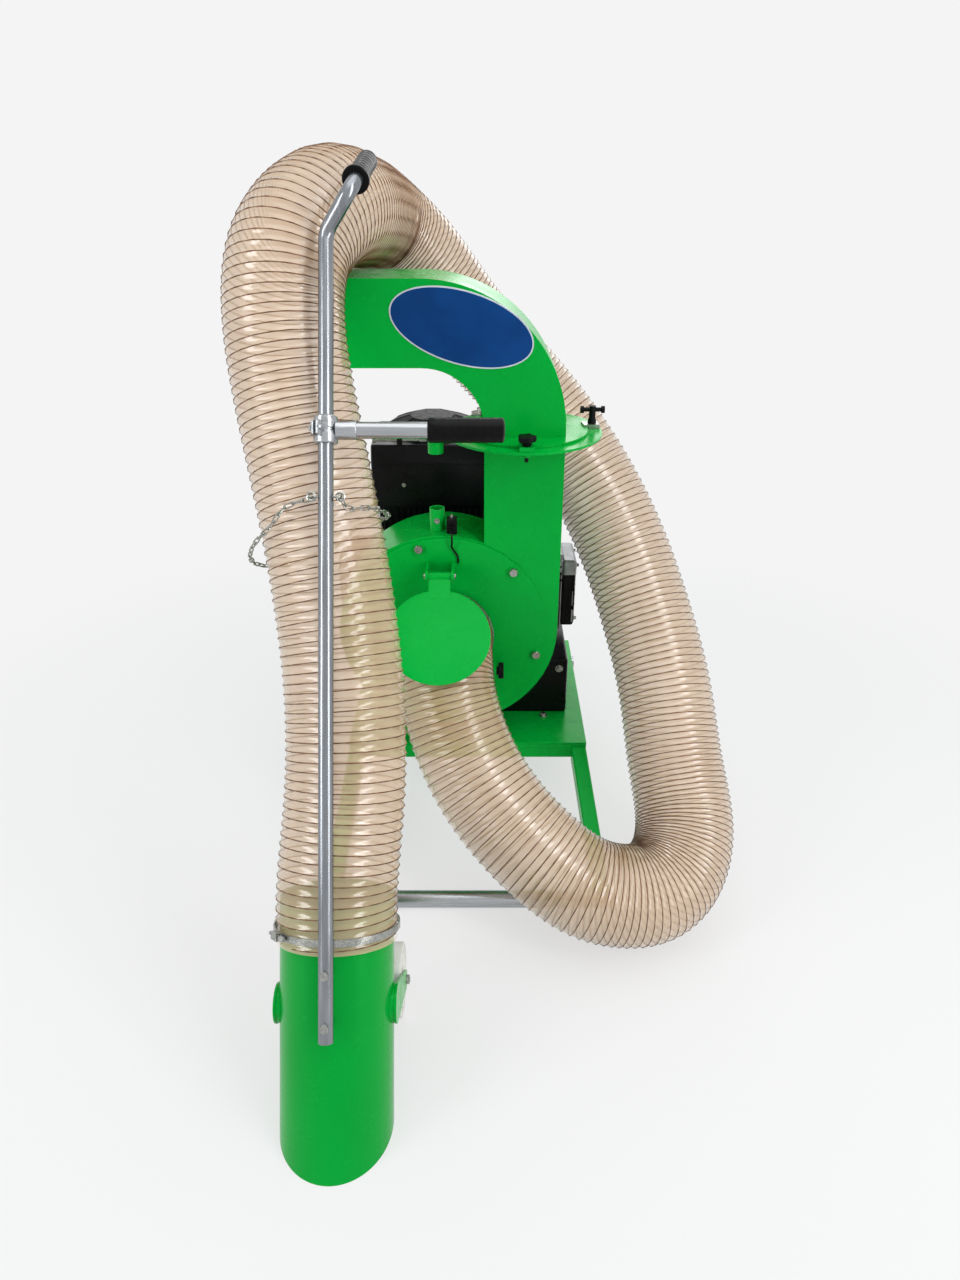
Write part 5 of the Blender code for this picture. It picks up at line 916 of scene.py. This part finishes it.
# %% Bolts in place
# Most bolts are measured in from the edges of the piece that they hold
FAN_X, FAN_Z = -0.1318, 0.517
COVER_FACE_Y, COVER_BOLT_R = 0.0997, 0.213
COVER_FIRST, COVER_STEP = 105, -60
RISER_FIRST, RISER_MIDDLE_X, RISER_LAST, RISER_DROP = 40 * MM, 60 * MM, 22 * MM, 26 * MM
FOOT_FIRST, FOOT_GAP, FOOT_MIDDLE_X, FOOT_LAST_X = 50 * MM, 16 * MM, -30 * MM, 107 * MM
ROCKER_INSET = 16 * MM
COWL_SCREW_X, COWL_SCREW_Z = -0.2303, 0.7963
SOCKET_BOLT_RISE = 26 * MM

cover_turns = [math.radians(COVER_FIRST + COVER_STEP * k) for k in range(6)]
bolts("cover_bolts", [(FAN_X + COVER_BOLT_R * math.cos(a), COVER_FACE_Y, FAN_Z + COVER_BOLT_R * math.sin(a))
                      for a in cover_turns], FRONT, COVER_HEAD)

riser_low, riser_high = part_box("engine_riser")
riser_front = riser_low[1]
riser_xs = (riser_low[0] + RISER_FIRST, RISER_MIDDLE_X, riser_high[0] - RISER_LAST)
bolts("riser_bolts", [(x, riser_front, riser_high[2] - RISER_DROP) for x in riser_xs], FRONT, M8_HEAD)
deck_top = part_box("deck_plate")[1][2]
foot_xs = (riser_low[0] + FOOT_FIRST, FOOT_MIDDLE_X, FOOT_LAST_X)
bolts("foot_bolts", [(x, riser_front - FOOT_GAP, deck_top) for x in foot_xs], UP, M8_HEAD)

rocker_low, rocker_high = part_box("rocker_cover")
rocker_ys, rocker_zs = ((rocker_low[k] + ROCKER_INSET, rocker_high[k] - ROCKER_INSET) for k in (1, 2))
bolts("rocker_bolts", [(rocker_high[0], y, z) for y in rocker_ys for z in rocker_zs], RIGHT, M5_HEAD)
bolts("cowl_screw", [(COWL_SCREW_X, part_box("engine_cowl")[0][1], COWL_SCREW_Z)], FRONT, SCREW_HEAD)
boom_low, boom_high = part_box("boom_socket")
socket_x = (boom_low[0] + boom_high[0]) / 2
bolts("socket_bolt", [(socket_x, boom_low[1], boom_low[2] + SOCKET_BOLT_RISE)], FRONT, SOCKET_HEAD)
print("bolts on the cover:", len(cover_turns))

# %% [markdown]
# ## Raised strips and rounded frames
#
# Fins, louvres and ribs are long low strips with sloping sides, as pressing and moulding leave them. A
# scaled cube would have no draft on its sides, and draft is what shows as a light line along each one.
# Flanges and caps follow the outline of a rounded rectangle, which one more helper draws.

# %% Strips and frames
STRIP_EASE, CORNER_STEPS = 0.3, 8


def add_strip(bm, centre, length_way, out_way, length, width, height):
    """A strip with sloping sides and ends standing on a face."""
    length_way, out_way = Vector(length_way).normalized(), Vector(out_way).normalized()
    side = out_way.cross(length_way)
    centre = Vector(centre)
    ease = min(width, height) * STRIP_EASE
    rows = []
    for rise, shrink in ((0.0, 0.0), (height * (1 - STRIP_EASE), 0.0), (height, ease)):
        half_l, half_w = length / 2 - shrink, width / 2 - shrink
        rows.append([bm.verts.new(centre + out_way * rise + length_way * (a * half_l) + side * (b * half_w))
                     for a, b in ((-1, -1), (1, -1), (1, 1), (-1, 1))])
    join_solid(bm, rows)


def strip_row(count, first, step, length_way, out_way, size):
    """Even strips from the first one's centre on. size is their length, width and height."""
    return [(tuple(a + b * k for a, b in zip(first, step)), length_way, out_way, *size) for k in range(count)]


def strips(name, settings, slot, body="stand"):
    bm = bmesh.new()
    for setting in settings:
        add_strip(bm, *setting)
    keep_built(name, bm, slot, body)


def frame_rows(bm, low, high, corner, levels):
    """Rows of points round a rounded rectangle in x and y, each grown by out at its own height."""
    quarters = ((high[0] - corner, high[1] - corner, 0), (low[0] + corner, high[1] - corner, 90),
                (low[0] + corner, low[1] + corner, 180), (high[0] - corner, low[1] + corner, 270))
    angles = [(x, y, math.radians(start + 90 * k / CORNER_STEPS))
              for x, y, start in quarters for k in range(CORNER_STEPS + 1)]
    return [[bm.verts.new((x + (corner + out) * math.cos(a), y + (corner + out) * math.sin(a), z))
             for x, y, a in angles] for out, z in levels]


def middle(low, high, axis):
    return (low[axis] + high[axis]) / 2


print("strips ease by", STRIP_EASE, "of their height")

# %% [markdown]
# ## Tee clamp
#
# A two-band casting grips the pole, its socket takes the cross tube, and a bolt draws its two lugs
# together. It turns on the pole with the cross grip. Tumbling has rolled its bands smooth, so they are
# turned from a profile with a groove between them, and catch more light than the tube.

# %% Tee clamp on the lance
TEE_LUG_TURN = math.radians(60)
TEE_STEPS, SOCKET_STEPS = 64, 48
TEE_BORE = 12.8
BAND_SIDE = [(17.5, 22), (19.2, 20.4), (19.7, 12), (19.2, 3), (17.6, 0.9)]
TEE_PROFILE = [(TEE_BORE, 22)] + BAND_SIDE + [(r, -h) for r, h in reversed(BAND_SIDE)] + [(TEE_BORE, -22)]
# How far the socket stands off the cross tube, and how far along it, both in millimetres
SOCKET_PROFILE = [(0.2, 50), (1.2, 50), (1.7, 49.2), (1.8, 17), (0.2, 17)]
LUG_OUT, LUG_SIDE, LUG_SIZE = 18 * MM, 4.6 * MM, (24 * MM, 6.6 * MM, 11.6 * MM)
LUG_BOLT_OUT, LUG_BOLT_SIDE, LUG_HEAD, LUG_WASHER = 24 * MM, 7.9 * MM, (8 * MM, 4 * MM, 5 * MM), 1 * MM

tee_turn = Matrix.Translation(side_centre) @ Matrix.Rotation(-LANCE_LEAN, 4, "X")
keep_built("tee_clamp_bands", turned([(r * MM, h * MM) for r, h in TEE_PROFILE], TEE_STEPS, tee_turn),
           "galvanised", "side_handle", ["tee_clamp"])
tube_low, tube_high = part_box("side_tube")
tube_r = (tube_high[2] - tube_low[2]) / 2
socket = [(tube_r + r * MM, h * MM) for r, h in SOCKET_PROFILE]
keep_built("tee_clamp_socket", turned(socket, SOCKET_STEPS, along(side_centre, RIGHT)), "galvanised",
           "side_handle")
bm = bmesh.new()
for side in (-1, 1):
    add_strip(bm, (-LUG_OUT, side * LUG_SIDE, 0), UP, LEFT, *LUG_SIZE)
    add_bolt(bm, (-LUG_BOLT_OUT, side * LUG_BOLT_SIDE, 0), (0, side, 0), LUG_HEAD, LUG_WASHER)
bmesh.ops.transform(bm, matrix=tee_turn @ Matrix.Rotation(TEE_LUG_TURN, 4, "Z"), verts=bm.verts)
keep_built("tee_clamp_lugs", bm, "galvanised", "side_handle")
print("tee clamp at", tuple(round(c, 3) for c in side_centre), "tube radius", round(tube_r, 4))

# %% [markdown]
# ## Engine
#
# The engine is a single with a lying cylinder. Its covers are pressed and moulded, so what makes them read
# as an engine is their ribs, fins and slots. They could be cut into the solids, but standing over the CAD's
# plain faces they keep its size exactly.

# %% Cylinder head
# Fins on the head's front and back, ribs on the rocker cover's right and front, and two light strips on its
# front that are painted highlights
FINS, FIN_FIRST, FIN_STEP, FIN_SIZE = 5, 4 * MM, 8 * MM, (2.4 * MM, 7 * MM)
FINS_LOW, FINS_HIGH = 4 * MM, 50 * MM
RIBS, RIB_FIRST, RIB_STEP, RIB_SHORT, RIB_SIZE = 6, 20 * MM, 28 * MM, 56 * MM, (3 * MM, 3 * MM)
ROCKER_RIB_TOP = 12 * MM
SLATS, SLAT_FIRST, SLAT_STEP, SLAT_DROP, SLAT_SIZE = 3, 10 * MM, 11 * MM, 14 * MM, (60 * MM, 4 * MM, 3 * MM)
HIGHLIGHT_STRIP_INSET, HIGHLIGHT_STRIP_SIZE = 6 * MM, (4 * MM, 2 * MM)
# The height of each painted highlight strip's middle above the cover's foot, and its length
EDGES = ((30 * MM, 36 * MM), (78 * MM, 40 * MM))

head_low, head_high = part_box("cylinder_head")
fin_low, fin_high = head_low[2] + FINS_LOW, head_high[2] - FINS_HIGH
fins = []
for face_y, out in ((head_low[1], FRONT), (head_high[1], BACK)):
    fins += strip_row(FINS, (head_low[0] + FIN_FIRST, face_y, (fin_low + fin_high) / 2), (FIN_STEP, 0, 0),
                      UP, out, (fin_high - fin_low, *FIN_SIZE))
ribs = strip_row(RIBS, (rocker_high[0], middle(rocker_low, rocker_high, 1), rocker_low[2] + RIB_FIRST),
                 (0, 0, RIB_STEP), BACK, RIGHT, (rocker_high[1] - rocker_low[1] - RIB_SHORT, *RIB_SIZE))
fins += [rib for rib in ribs if rib[0][2] < rocker_high[2] - ROCKER_RIB_TOP]
slat_z = middle(rocker_low, rocker_high, 2) - SLAT_DROP
fins += strip_row(SLATS, (rocker_low[0] + SLAT_FIRST, rocker_low[1], slat_z), (SLAT_STEP, 0, 0), UP, FRONT,
                  SLAT_SIZE)
strips("head_fins", fins, "black_paint")
# Pale cast strips standing on the black cover as painted highlights
highlight_strip_x = rocker_high[0] - HIGHLIGHT_STRIP_INSET
strips("rocker_highlight_strips", [((highlight_strip_x, rocker_low[1], rocker_low[2] + z), UP, FRONT, run, *HIGHLIGHT_STRIP_SIZE)
                       for z, run in EDGES], "cast_aluminium")
print("fins:", len(fins))

# %% Rocker cap, painted light
# A light cast cap over the rocker cover; its pale grey is painted light for the cover's top, lit from above
CAP_DEPTH, CAP_OUT, CAP_CORNER = 36 * MM, 1 * MM, 9 * MM
CAP_EASE, CAP_ROUND = 7 * MM, 0.3
cap_top = rocker_high[2]
bm = bmesh.new()
rows = frame_rows(bm, rocker_low, rocker_high, CAP_CORNER,
                  ((CAP_OUT, cap_top - CAP_DEPTH), (CAP_OUT, cap_top - CAP_EASE),
                   (CAP_OUT - CAP_EASE * CAP_ROUND, cap_top - CAP_EASE * CAP_ROUND),
                   (CAP_OUT - CAP_EASE, cap_top + CAP_OUT)))
join_solid(bm, rows)
keep_built("rocker_cap_painted_light", bm, "cast_aluminium")
print("deflector top:", round(cap_top + CAP_OUT, 4))

# %% Cowl and shroud
# Stiffening beads along the cowl's front, louvres on its ends and its back, and ribs on the shroud below
COWL_CREASE_Z = 0.852
BEAD_INSET, BEAD_SHORT = 8 * MM, 12 * MM
# Width and height of the bead under the crease and of the one at the foot
BEADS = ((4 * MM, 1.2 * MM), (6 * MM, 1.4 * MM))
LOUVRES, LOUVRE_FIRST, LOUVRE_STEP, LOUVRE_SIZE = 7, 22 * MM, 12 * MM, (130 * MM, 4 * MM, 3 * MM)
SLOTS, SLOT_FIRST, SLOT_STEP, SLOT_DROP, SLOT_SIZE = 9, 50 * MM, 22 * MM, 45 * MM, (60 * MM, 6 * MM, 3 * MM)
SHROUD_RIBS, SHROUD_FIRST, SHROUD_STEP = 17, 12 * MM, 14.5 * MM
SHROUD_SHORT, SHROUD_RIB_SIZE = 16 * MM, (4 * MM, 3 * MM)

cowl_low, cowl_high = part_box("engine_cowl")
bead_x, bead_run = middle(cowl_low, cowl_high, 0), cowl_high[0] - cowl_low[0] - BEAD_SHORT
beads = [((bead_x, cowl_low[1], z), RIGHT, FRONT, bead_run, *size)
         for z, size in zip((COWL_CREASE_Z - BEAD_INSET, cowl_low[2] + BEAD_INSET), BEADS)]
for face_x, out in ((cowl_low[0], LEFT), (cowl_high[0], RIGHT)):
    beads += strip_row(LOUVRES, (face_x, middle(cowl_low, cowl_high, 1), cowl_low[2] + LOUVRE_FIRST),
                       (0, 0, LOUVRE_STEP), BACK, out, LOUVRE_SIZE)
beads += strip_row(SLOTS, (cowl_low[0] + SLOT_FIRST, cowl_high[1], COWL_CREASE_Z - SLOT_DROP),
                   (SLOT_STEP, 0, 0), UP, BACK, SLOT_SIZE)
strips("cowl_louvres", beads, "black_paint")

shroud_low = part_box("cooling_shroud")[0]
shroud_top = cowl_low[2]
ribs = strip_row(SHROUD_RIBS, (shroud_low[0] + SHROUD_FIRST, shroud_low[1], (shroud_low[2] + shroud_top) / 2),
                 (SHROUD_STEP, 0, 0), UP, FRONT,
                 (shroud_top - shroud_low[2] - SHROUD_SHORT, *SHROUD_RIB_SIZE))
strips("shroud_ribs", ribs, "black_paint")
print("louvres:", len(beads), "shroud ribs:", len(ribs))

# %% [markdown]
# ## Air cleaner
#
# The cover is moulded as a low dome of ten flat panels round a flat crown, with a raised rib on each
# corner. A cone with ten sides would give the panels but no ribs, so each ring of the dome takes its radius
# and its height from the angle.

# %% Air cleaner
AIR_X, AIR_Y = -0.168, 0.450
AIR_PANELS, AIR_STEPS = 10, 240
AIR_PART = 2 * math.pi / AIR_PANELS
AIR_CROWN, AIR_SHOULDER, AIR_DROP = 0.48, 0.93, 19 * MM
AIR_RIB, AIR_RIB_SHARE = 1.6 * MM, 0.12
air_low, air_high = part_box("air_cleaner_cover")
air_r = (air_high[0] - air_low[0]) / 2


def rib_rise(angle):
    """1 on the corner between two panels, falling to 0 within the rib's width."""
    off = min(angle % AIR_PART, AIR_PART - angle % AIR_PART)
    return max(0.0, 1 - off / (AIR_PART * AIR_RIB_SHARE))


# Share of the radius, height below the top, and share of the rib's height that the panel lies under it
AIR_LEVELS = [(AIR_CROWN * 0.35, 0.0, 0), (AIR_CROWN, 0.0, 0), (AIR_CROWN + 0.015, -0.6 * MM, 1),
              ((AIR_CROWN + AIR_SHOULDER) / 2, -0.44 * AIR_DROP, 1), (AIR_SHOULDER, -AIR_DROP, 1),
              (0.975, -AIR_DROP - 3 * MM, 0.6), (1.0, -AIR_DROP - 7 * MM, 0.3),
              (1.0, air_low[2] - air_high[2], 0)]
bm = bmesh.new()
rows = []
for share, drop, rib in AIR_LEVELS:
    row = []
    for a in circle(AIR_STEPS):
        size = share * air_r * math.cos(AIR_PART / 2) / math.cos(a % AIR_PART - AIR_PART / 2)
        height = air_high[2] + drop - AIR_RIB * rib * (1 - rib_rise(a))
        row.append(bm.verts.new((AIR_X + size * math.cos(a), AIR_Y + size * math.sin(a), height)))
    rows.append(row)
join_solid(bm, rows)
keep_built("air_cleaner_panelled", bm, "black_plastic", replaced=["air_cleaner_cover"])
print("air cleaner radius:", round(air_r, 3))

# %% [markdown]
# ## Starter, tank and muffler
#
# The starter's cover is slotted so that the flywheel can draw air, the tank is two halves welded at a
# flange, and the muffler wears a slotted guard that keeps hands off it. Slots could be cut with booleans,
# which leave ragged faces, so the guard is laid out cell by cell around its openings.

# %% Starter vanes and tank flange
STARTER_SHOULDER_R, STARTER_SHOULDER_BACK = 64 * MM, 6.5 * MM
VANE_SIZE, VANE_SLOPE, VANES = (30 * MM, 5 * MM, 3.5 * MM), 0.30, 18
TANK_CORNER = 22 * MM
# How far out the flange stands and how far above its middle, both in millimetres
FLANGE_LEVELS = ((-1.0, -3), (3.2, -2.6), (4.0, -1.8), (4.0, 1.8), (3.2, 2.6), (-1.0, 3))

starter_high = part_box("recoil_starter")[1]
starter_centre = Vector((FAN_X, starter_high[1] - STARTER_SHOULDER_BACK, FAN_Z))
vanes = []
for a in circle(VANES):
    way = Vector((math.cos(a), 0, math.sin(a)))
    vanes.append((starter_centre + way * STARTER_SHOULDER_R, way - Vector(BACK) * VANE_SLOPE,
                  Vector(BACK) + way * VANE_SLOPE, *VANE_SIZE))
strips("starter_vanes", vanes, "black_plastic")

tank_low, tank_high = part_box("fuel_tank")
tank_middle = middle(tank_low, tank_high, 2)
bm = bmesh.new()
rows = frame_rows(bm, tank_low, tank_high, TANK_CORNER,
                  [(out * MM, tank_middle + rise * MM) for out, rise in FLANGE_LEVELS])
join_rows(bm, rows, ring=True)
keep_built("tank_flange", bm, "black_plastic")
print("vanes:", len(vanes), "flange at height", round(tank_middle, 3))

# %% Muffler guard
GUARD_GAP, GUARD_THICK = 7 * MM, 1.5 * MM
GUARD_Y, GUARD_Z = (12 * MM, 146 * MM), (10 * MM, 140 * MM)
GUARD_COLUMNS, GUARD_ROWS, GUARD_RIM, GUARD_BAR = 3, 7, 12 * MM, 8 * MM
POST_YS, POST_ZS, POST_SIDE = (18 * MM, 152 * MM), (16 * MM, 144 * MM), 10 * MM
POST_SUNK, POST_HEIGHT = 1 * MM, GUARD_GAP + 0.5 * MM


def cuts(length, count):
    """Where a plate changes between bar and opening along one side."""
    opening = (length - 2 * GUARD_RIM - (count - 1) * GUARD_BAR) / count
    marks = [0, GUARD_RIM]
    for k in range(count):
        marks += [marks[-1] + opening] + ([marks[-1] + opening + GUARD_BAR] if k < count - 1 else [])
    return marks + [length]


def slotted_plate(bm, corner, across, up, marks_w, marks_h, thickness):
    """A plate with a grid of square-ended slots. Every second cell both ways is open."""
    across, up = Vector(across), Vector(up)
    out = across.cross(up).normalized()
    grid = {}

    def vert(i, j, layer):
        if (i, j, layer) not in grid:
            spot = Vector(corner) + across * marks_w[i] + up * marks_h[j] + out * (thickness if layer else 0)
            grid[i, j, layer] = bm.verts.new(spot)
        return grid[i, j, layer]

    def solid(i, j):
        inside = 0 <= i < len(marks_w) - 1 and 0 <= j < len(marks_h) - 1
        return inside and not (i % 2 == 1 and j % 2 == 1)

    for i, j in ((i, j) for i in range(len(marks_w) - 1) for j in range(len(marks_h) - 1) if solid(i, j)):
        corners = [(i, j), (i + 1, j), (i + 1, j + 1), (i, j + 1)]
        bm.faces.new([vert(*c, 1) for c in corners])
        bm.faces.new([vert(*c, 0) for c in (corners[0], corners[3], corners[2], corners[1])])
        for k, beside in enumerate(((i, j - 1), (i + 1, j), (i, j + 1), (i - 1, j))):
            if not solid(*beside):
                a, b = corners[k], corners[(k + 1) % 4]
                bm.faces.new((vert(*a, 0), vert(*b, 0), vert(*b, 1), vert(*a, 1)))


guard_x, guard_y, guard_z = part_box("muffler")[0]
bm = bmesh.new()
slotted_plate(bm, (guard_x - GUARD_GAP, guard_y + GUARD_Y[0], guard_z + GUARD_Z[0]), BACK, UP,
              cuts(GUARD_Y[1], GUARD_COLUMNS), cuts(GUARD_Z[1], GUARD_ROWS), GUARD_THICK)
for y, z in ((y, z) for y in POST_YS for z in POST_ZS):
    add_strip(bm, (guard_x + POST_SUNK, guard_y + y, guard_z + z), UP, LEFT, POST_SIDE, POST_SIDE,
              POST_HEIGHT)
keep_built("muffler_guard", bm, "black_paint")
print("guard slots:", GUARD_COLUMNS * GUARD_ROWS)

# %% [markdown]
# ## Starter cord
#
# The starter's cord is wound on a reel behind its cover and only shows while the grip is pulled out. A cord
# of full length would have to hide somewhere at rest. Instead it is a short cord whose rings all lie inside
# the eyelet and the grip's neck.

# %% Starter cord
CORD_R, CORD_SIDES, CORD_RINGS = 2.2 * MM, 12, 30
CORD_IN_EYELET, CORD_IN_NECK, CORD_SPREAD = 12 * MM, 9 * MM, 5 * MM
braided_cord = moulded("braided_polyester_cord", "#B3AE9F", "#CBC6B7", 0.7, 1.6 * MM, 0.2 * MM)
eyelet_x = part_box("recoil_starter")[0][0]
grip_low, grip_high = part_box("recoil_grip")
cord_y, cord_z = middle(grip_low, grip_high, 1), middle(grip_low, grip_high, 2)

bm = bmesh.new()
rows = []
for ring in range(CORD_RINGS + 1):
    x = eyelet_x + CORD_IN_EYELET - (CORD_IN_EYELET + CORD_IN_NECK) * ring / CORD_RINGS
    rows.append([bm.verts.new((x, cord_y + CORD_R * math.cos(a), cord_z + CORD_R * math.sin(a)))
                 for a in circle(CORD_SIDES)])
join_solid(bm, rows)
cord = bpy.data.objects.new("starter_cord", mesh_of(bm, "starter_cord"))
bpy.context.scene.collection.objects.link(cord)
cord.data.materials.append(braided_cord)
smooth(cord.data)
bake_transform(cord)
print("starter cord through", round(eyelet_x, 3), round(cord_y, 3), round(cord_z, 3))

# %% [markdown]
# ## Wheels
#
# Each wheel is cast nylon with a recessed web between hub and rim. The CAD wheel has 24 flats, which show
# against the floor, so it is turned again round, with eased edges, and six thin ribs stiffen the web on
# both sides.

# %% Wheels
WHEEL_R, WHEEL_HALF, HUB_R, AXLE_BORE = 70 * MM, 11 * MM, 20 * MM, 5.4 * MM
WHEEL_Y, WHEEL_Z, WHEEL_OFFSET = -0.490, 0.070, 0.0885
WEB_DEPTH, WEB_SLOPE, RIM_WIDTH, WHEEL_EASE = 5 * MM, 1 * MM, 13 * MM, 1.5 * MM
WHEEL_STEPS, WHEEL_RIBS, WHEEL_RIB_TURN = 72, 6, 0.3
WHEEL_RIB_SIZE, WHEEL_RIB_SUNK = (38.5 * MM, 3 * MM, 4.5 * MM), 5.5 * MM


def wheel(centre):
    half, web, rim, ease = WHEEL_HALF, WHEEL_HALF - WEB_DEPTH, WHEEL_R - RIM_WIDTH, WHEEL_EASE
    right = [(HUB_R - ease, half), (HUB_R, half - ease), (HUB_R + WEB_SLOPE, web), (rim - WEB_SLOPE, web),
             (rim, half - ease), (rim + ease, half), (WHEEL_R - 2 * ease, half),
             (WHEEL_R - ease * 0.6, half - ease * 0.6), (WHEEL_R, half - 2 * ease)]
    profile = right + [(r, -z) for r, z in reversed(right)] + [(AXLE_BORE, -half), (AXLE_BORE, half)]
    return turned(profile, WHEEL_STEPS, along(centre, RIGHT))


for sign, label in ((-1, "left"), (1, "right")):
    centre = Vector((LANCE_FOOT.x + sign * WHEEL_OFFSET, WHEEL_Y, WHEEL_Z))
    keep_built(f"wheel_{label}_turned", wheel(centre), "white_nylon", f"wheel_{label}", [f"wheel_{label}"])
    ribs = []
    for a in circle(WHEEL_RIBS):
        way = Vector((0, math.cos(a + WHEEL_RIB_TURN), math.sin(a + WHEEL_RIB_TURN)))
        web_middle = centre + way * ((HUB_R + WHEEL_R - RIM_WIDTH) / 2)
        for out in (LEFT, RIGHT):
            ribs.append((web_middle + Vector(out) * (WHEEL_HALF - WHEEL_RIB_SUNK), way, out, *WHEEL_RIB_SIZE))
    strips(f"wheel_{label}_ribs", ribs, "white_nylon", f"wheel_{label}")

# %% [markdown]
# ## Sizes
#
# The scene is brought up to date at the end. New pieces must not make the machine bigger than its CAD.

# %% Sizes
bpy.context.view_layer.update()
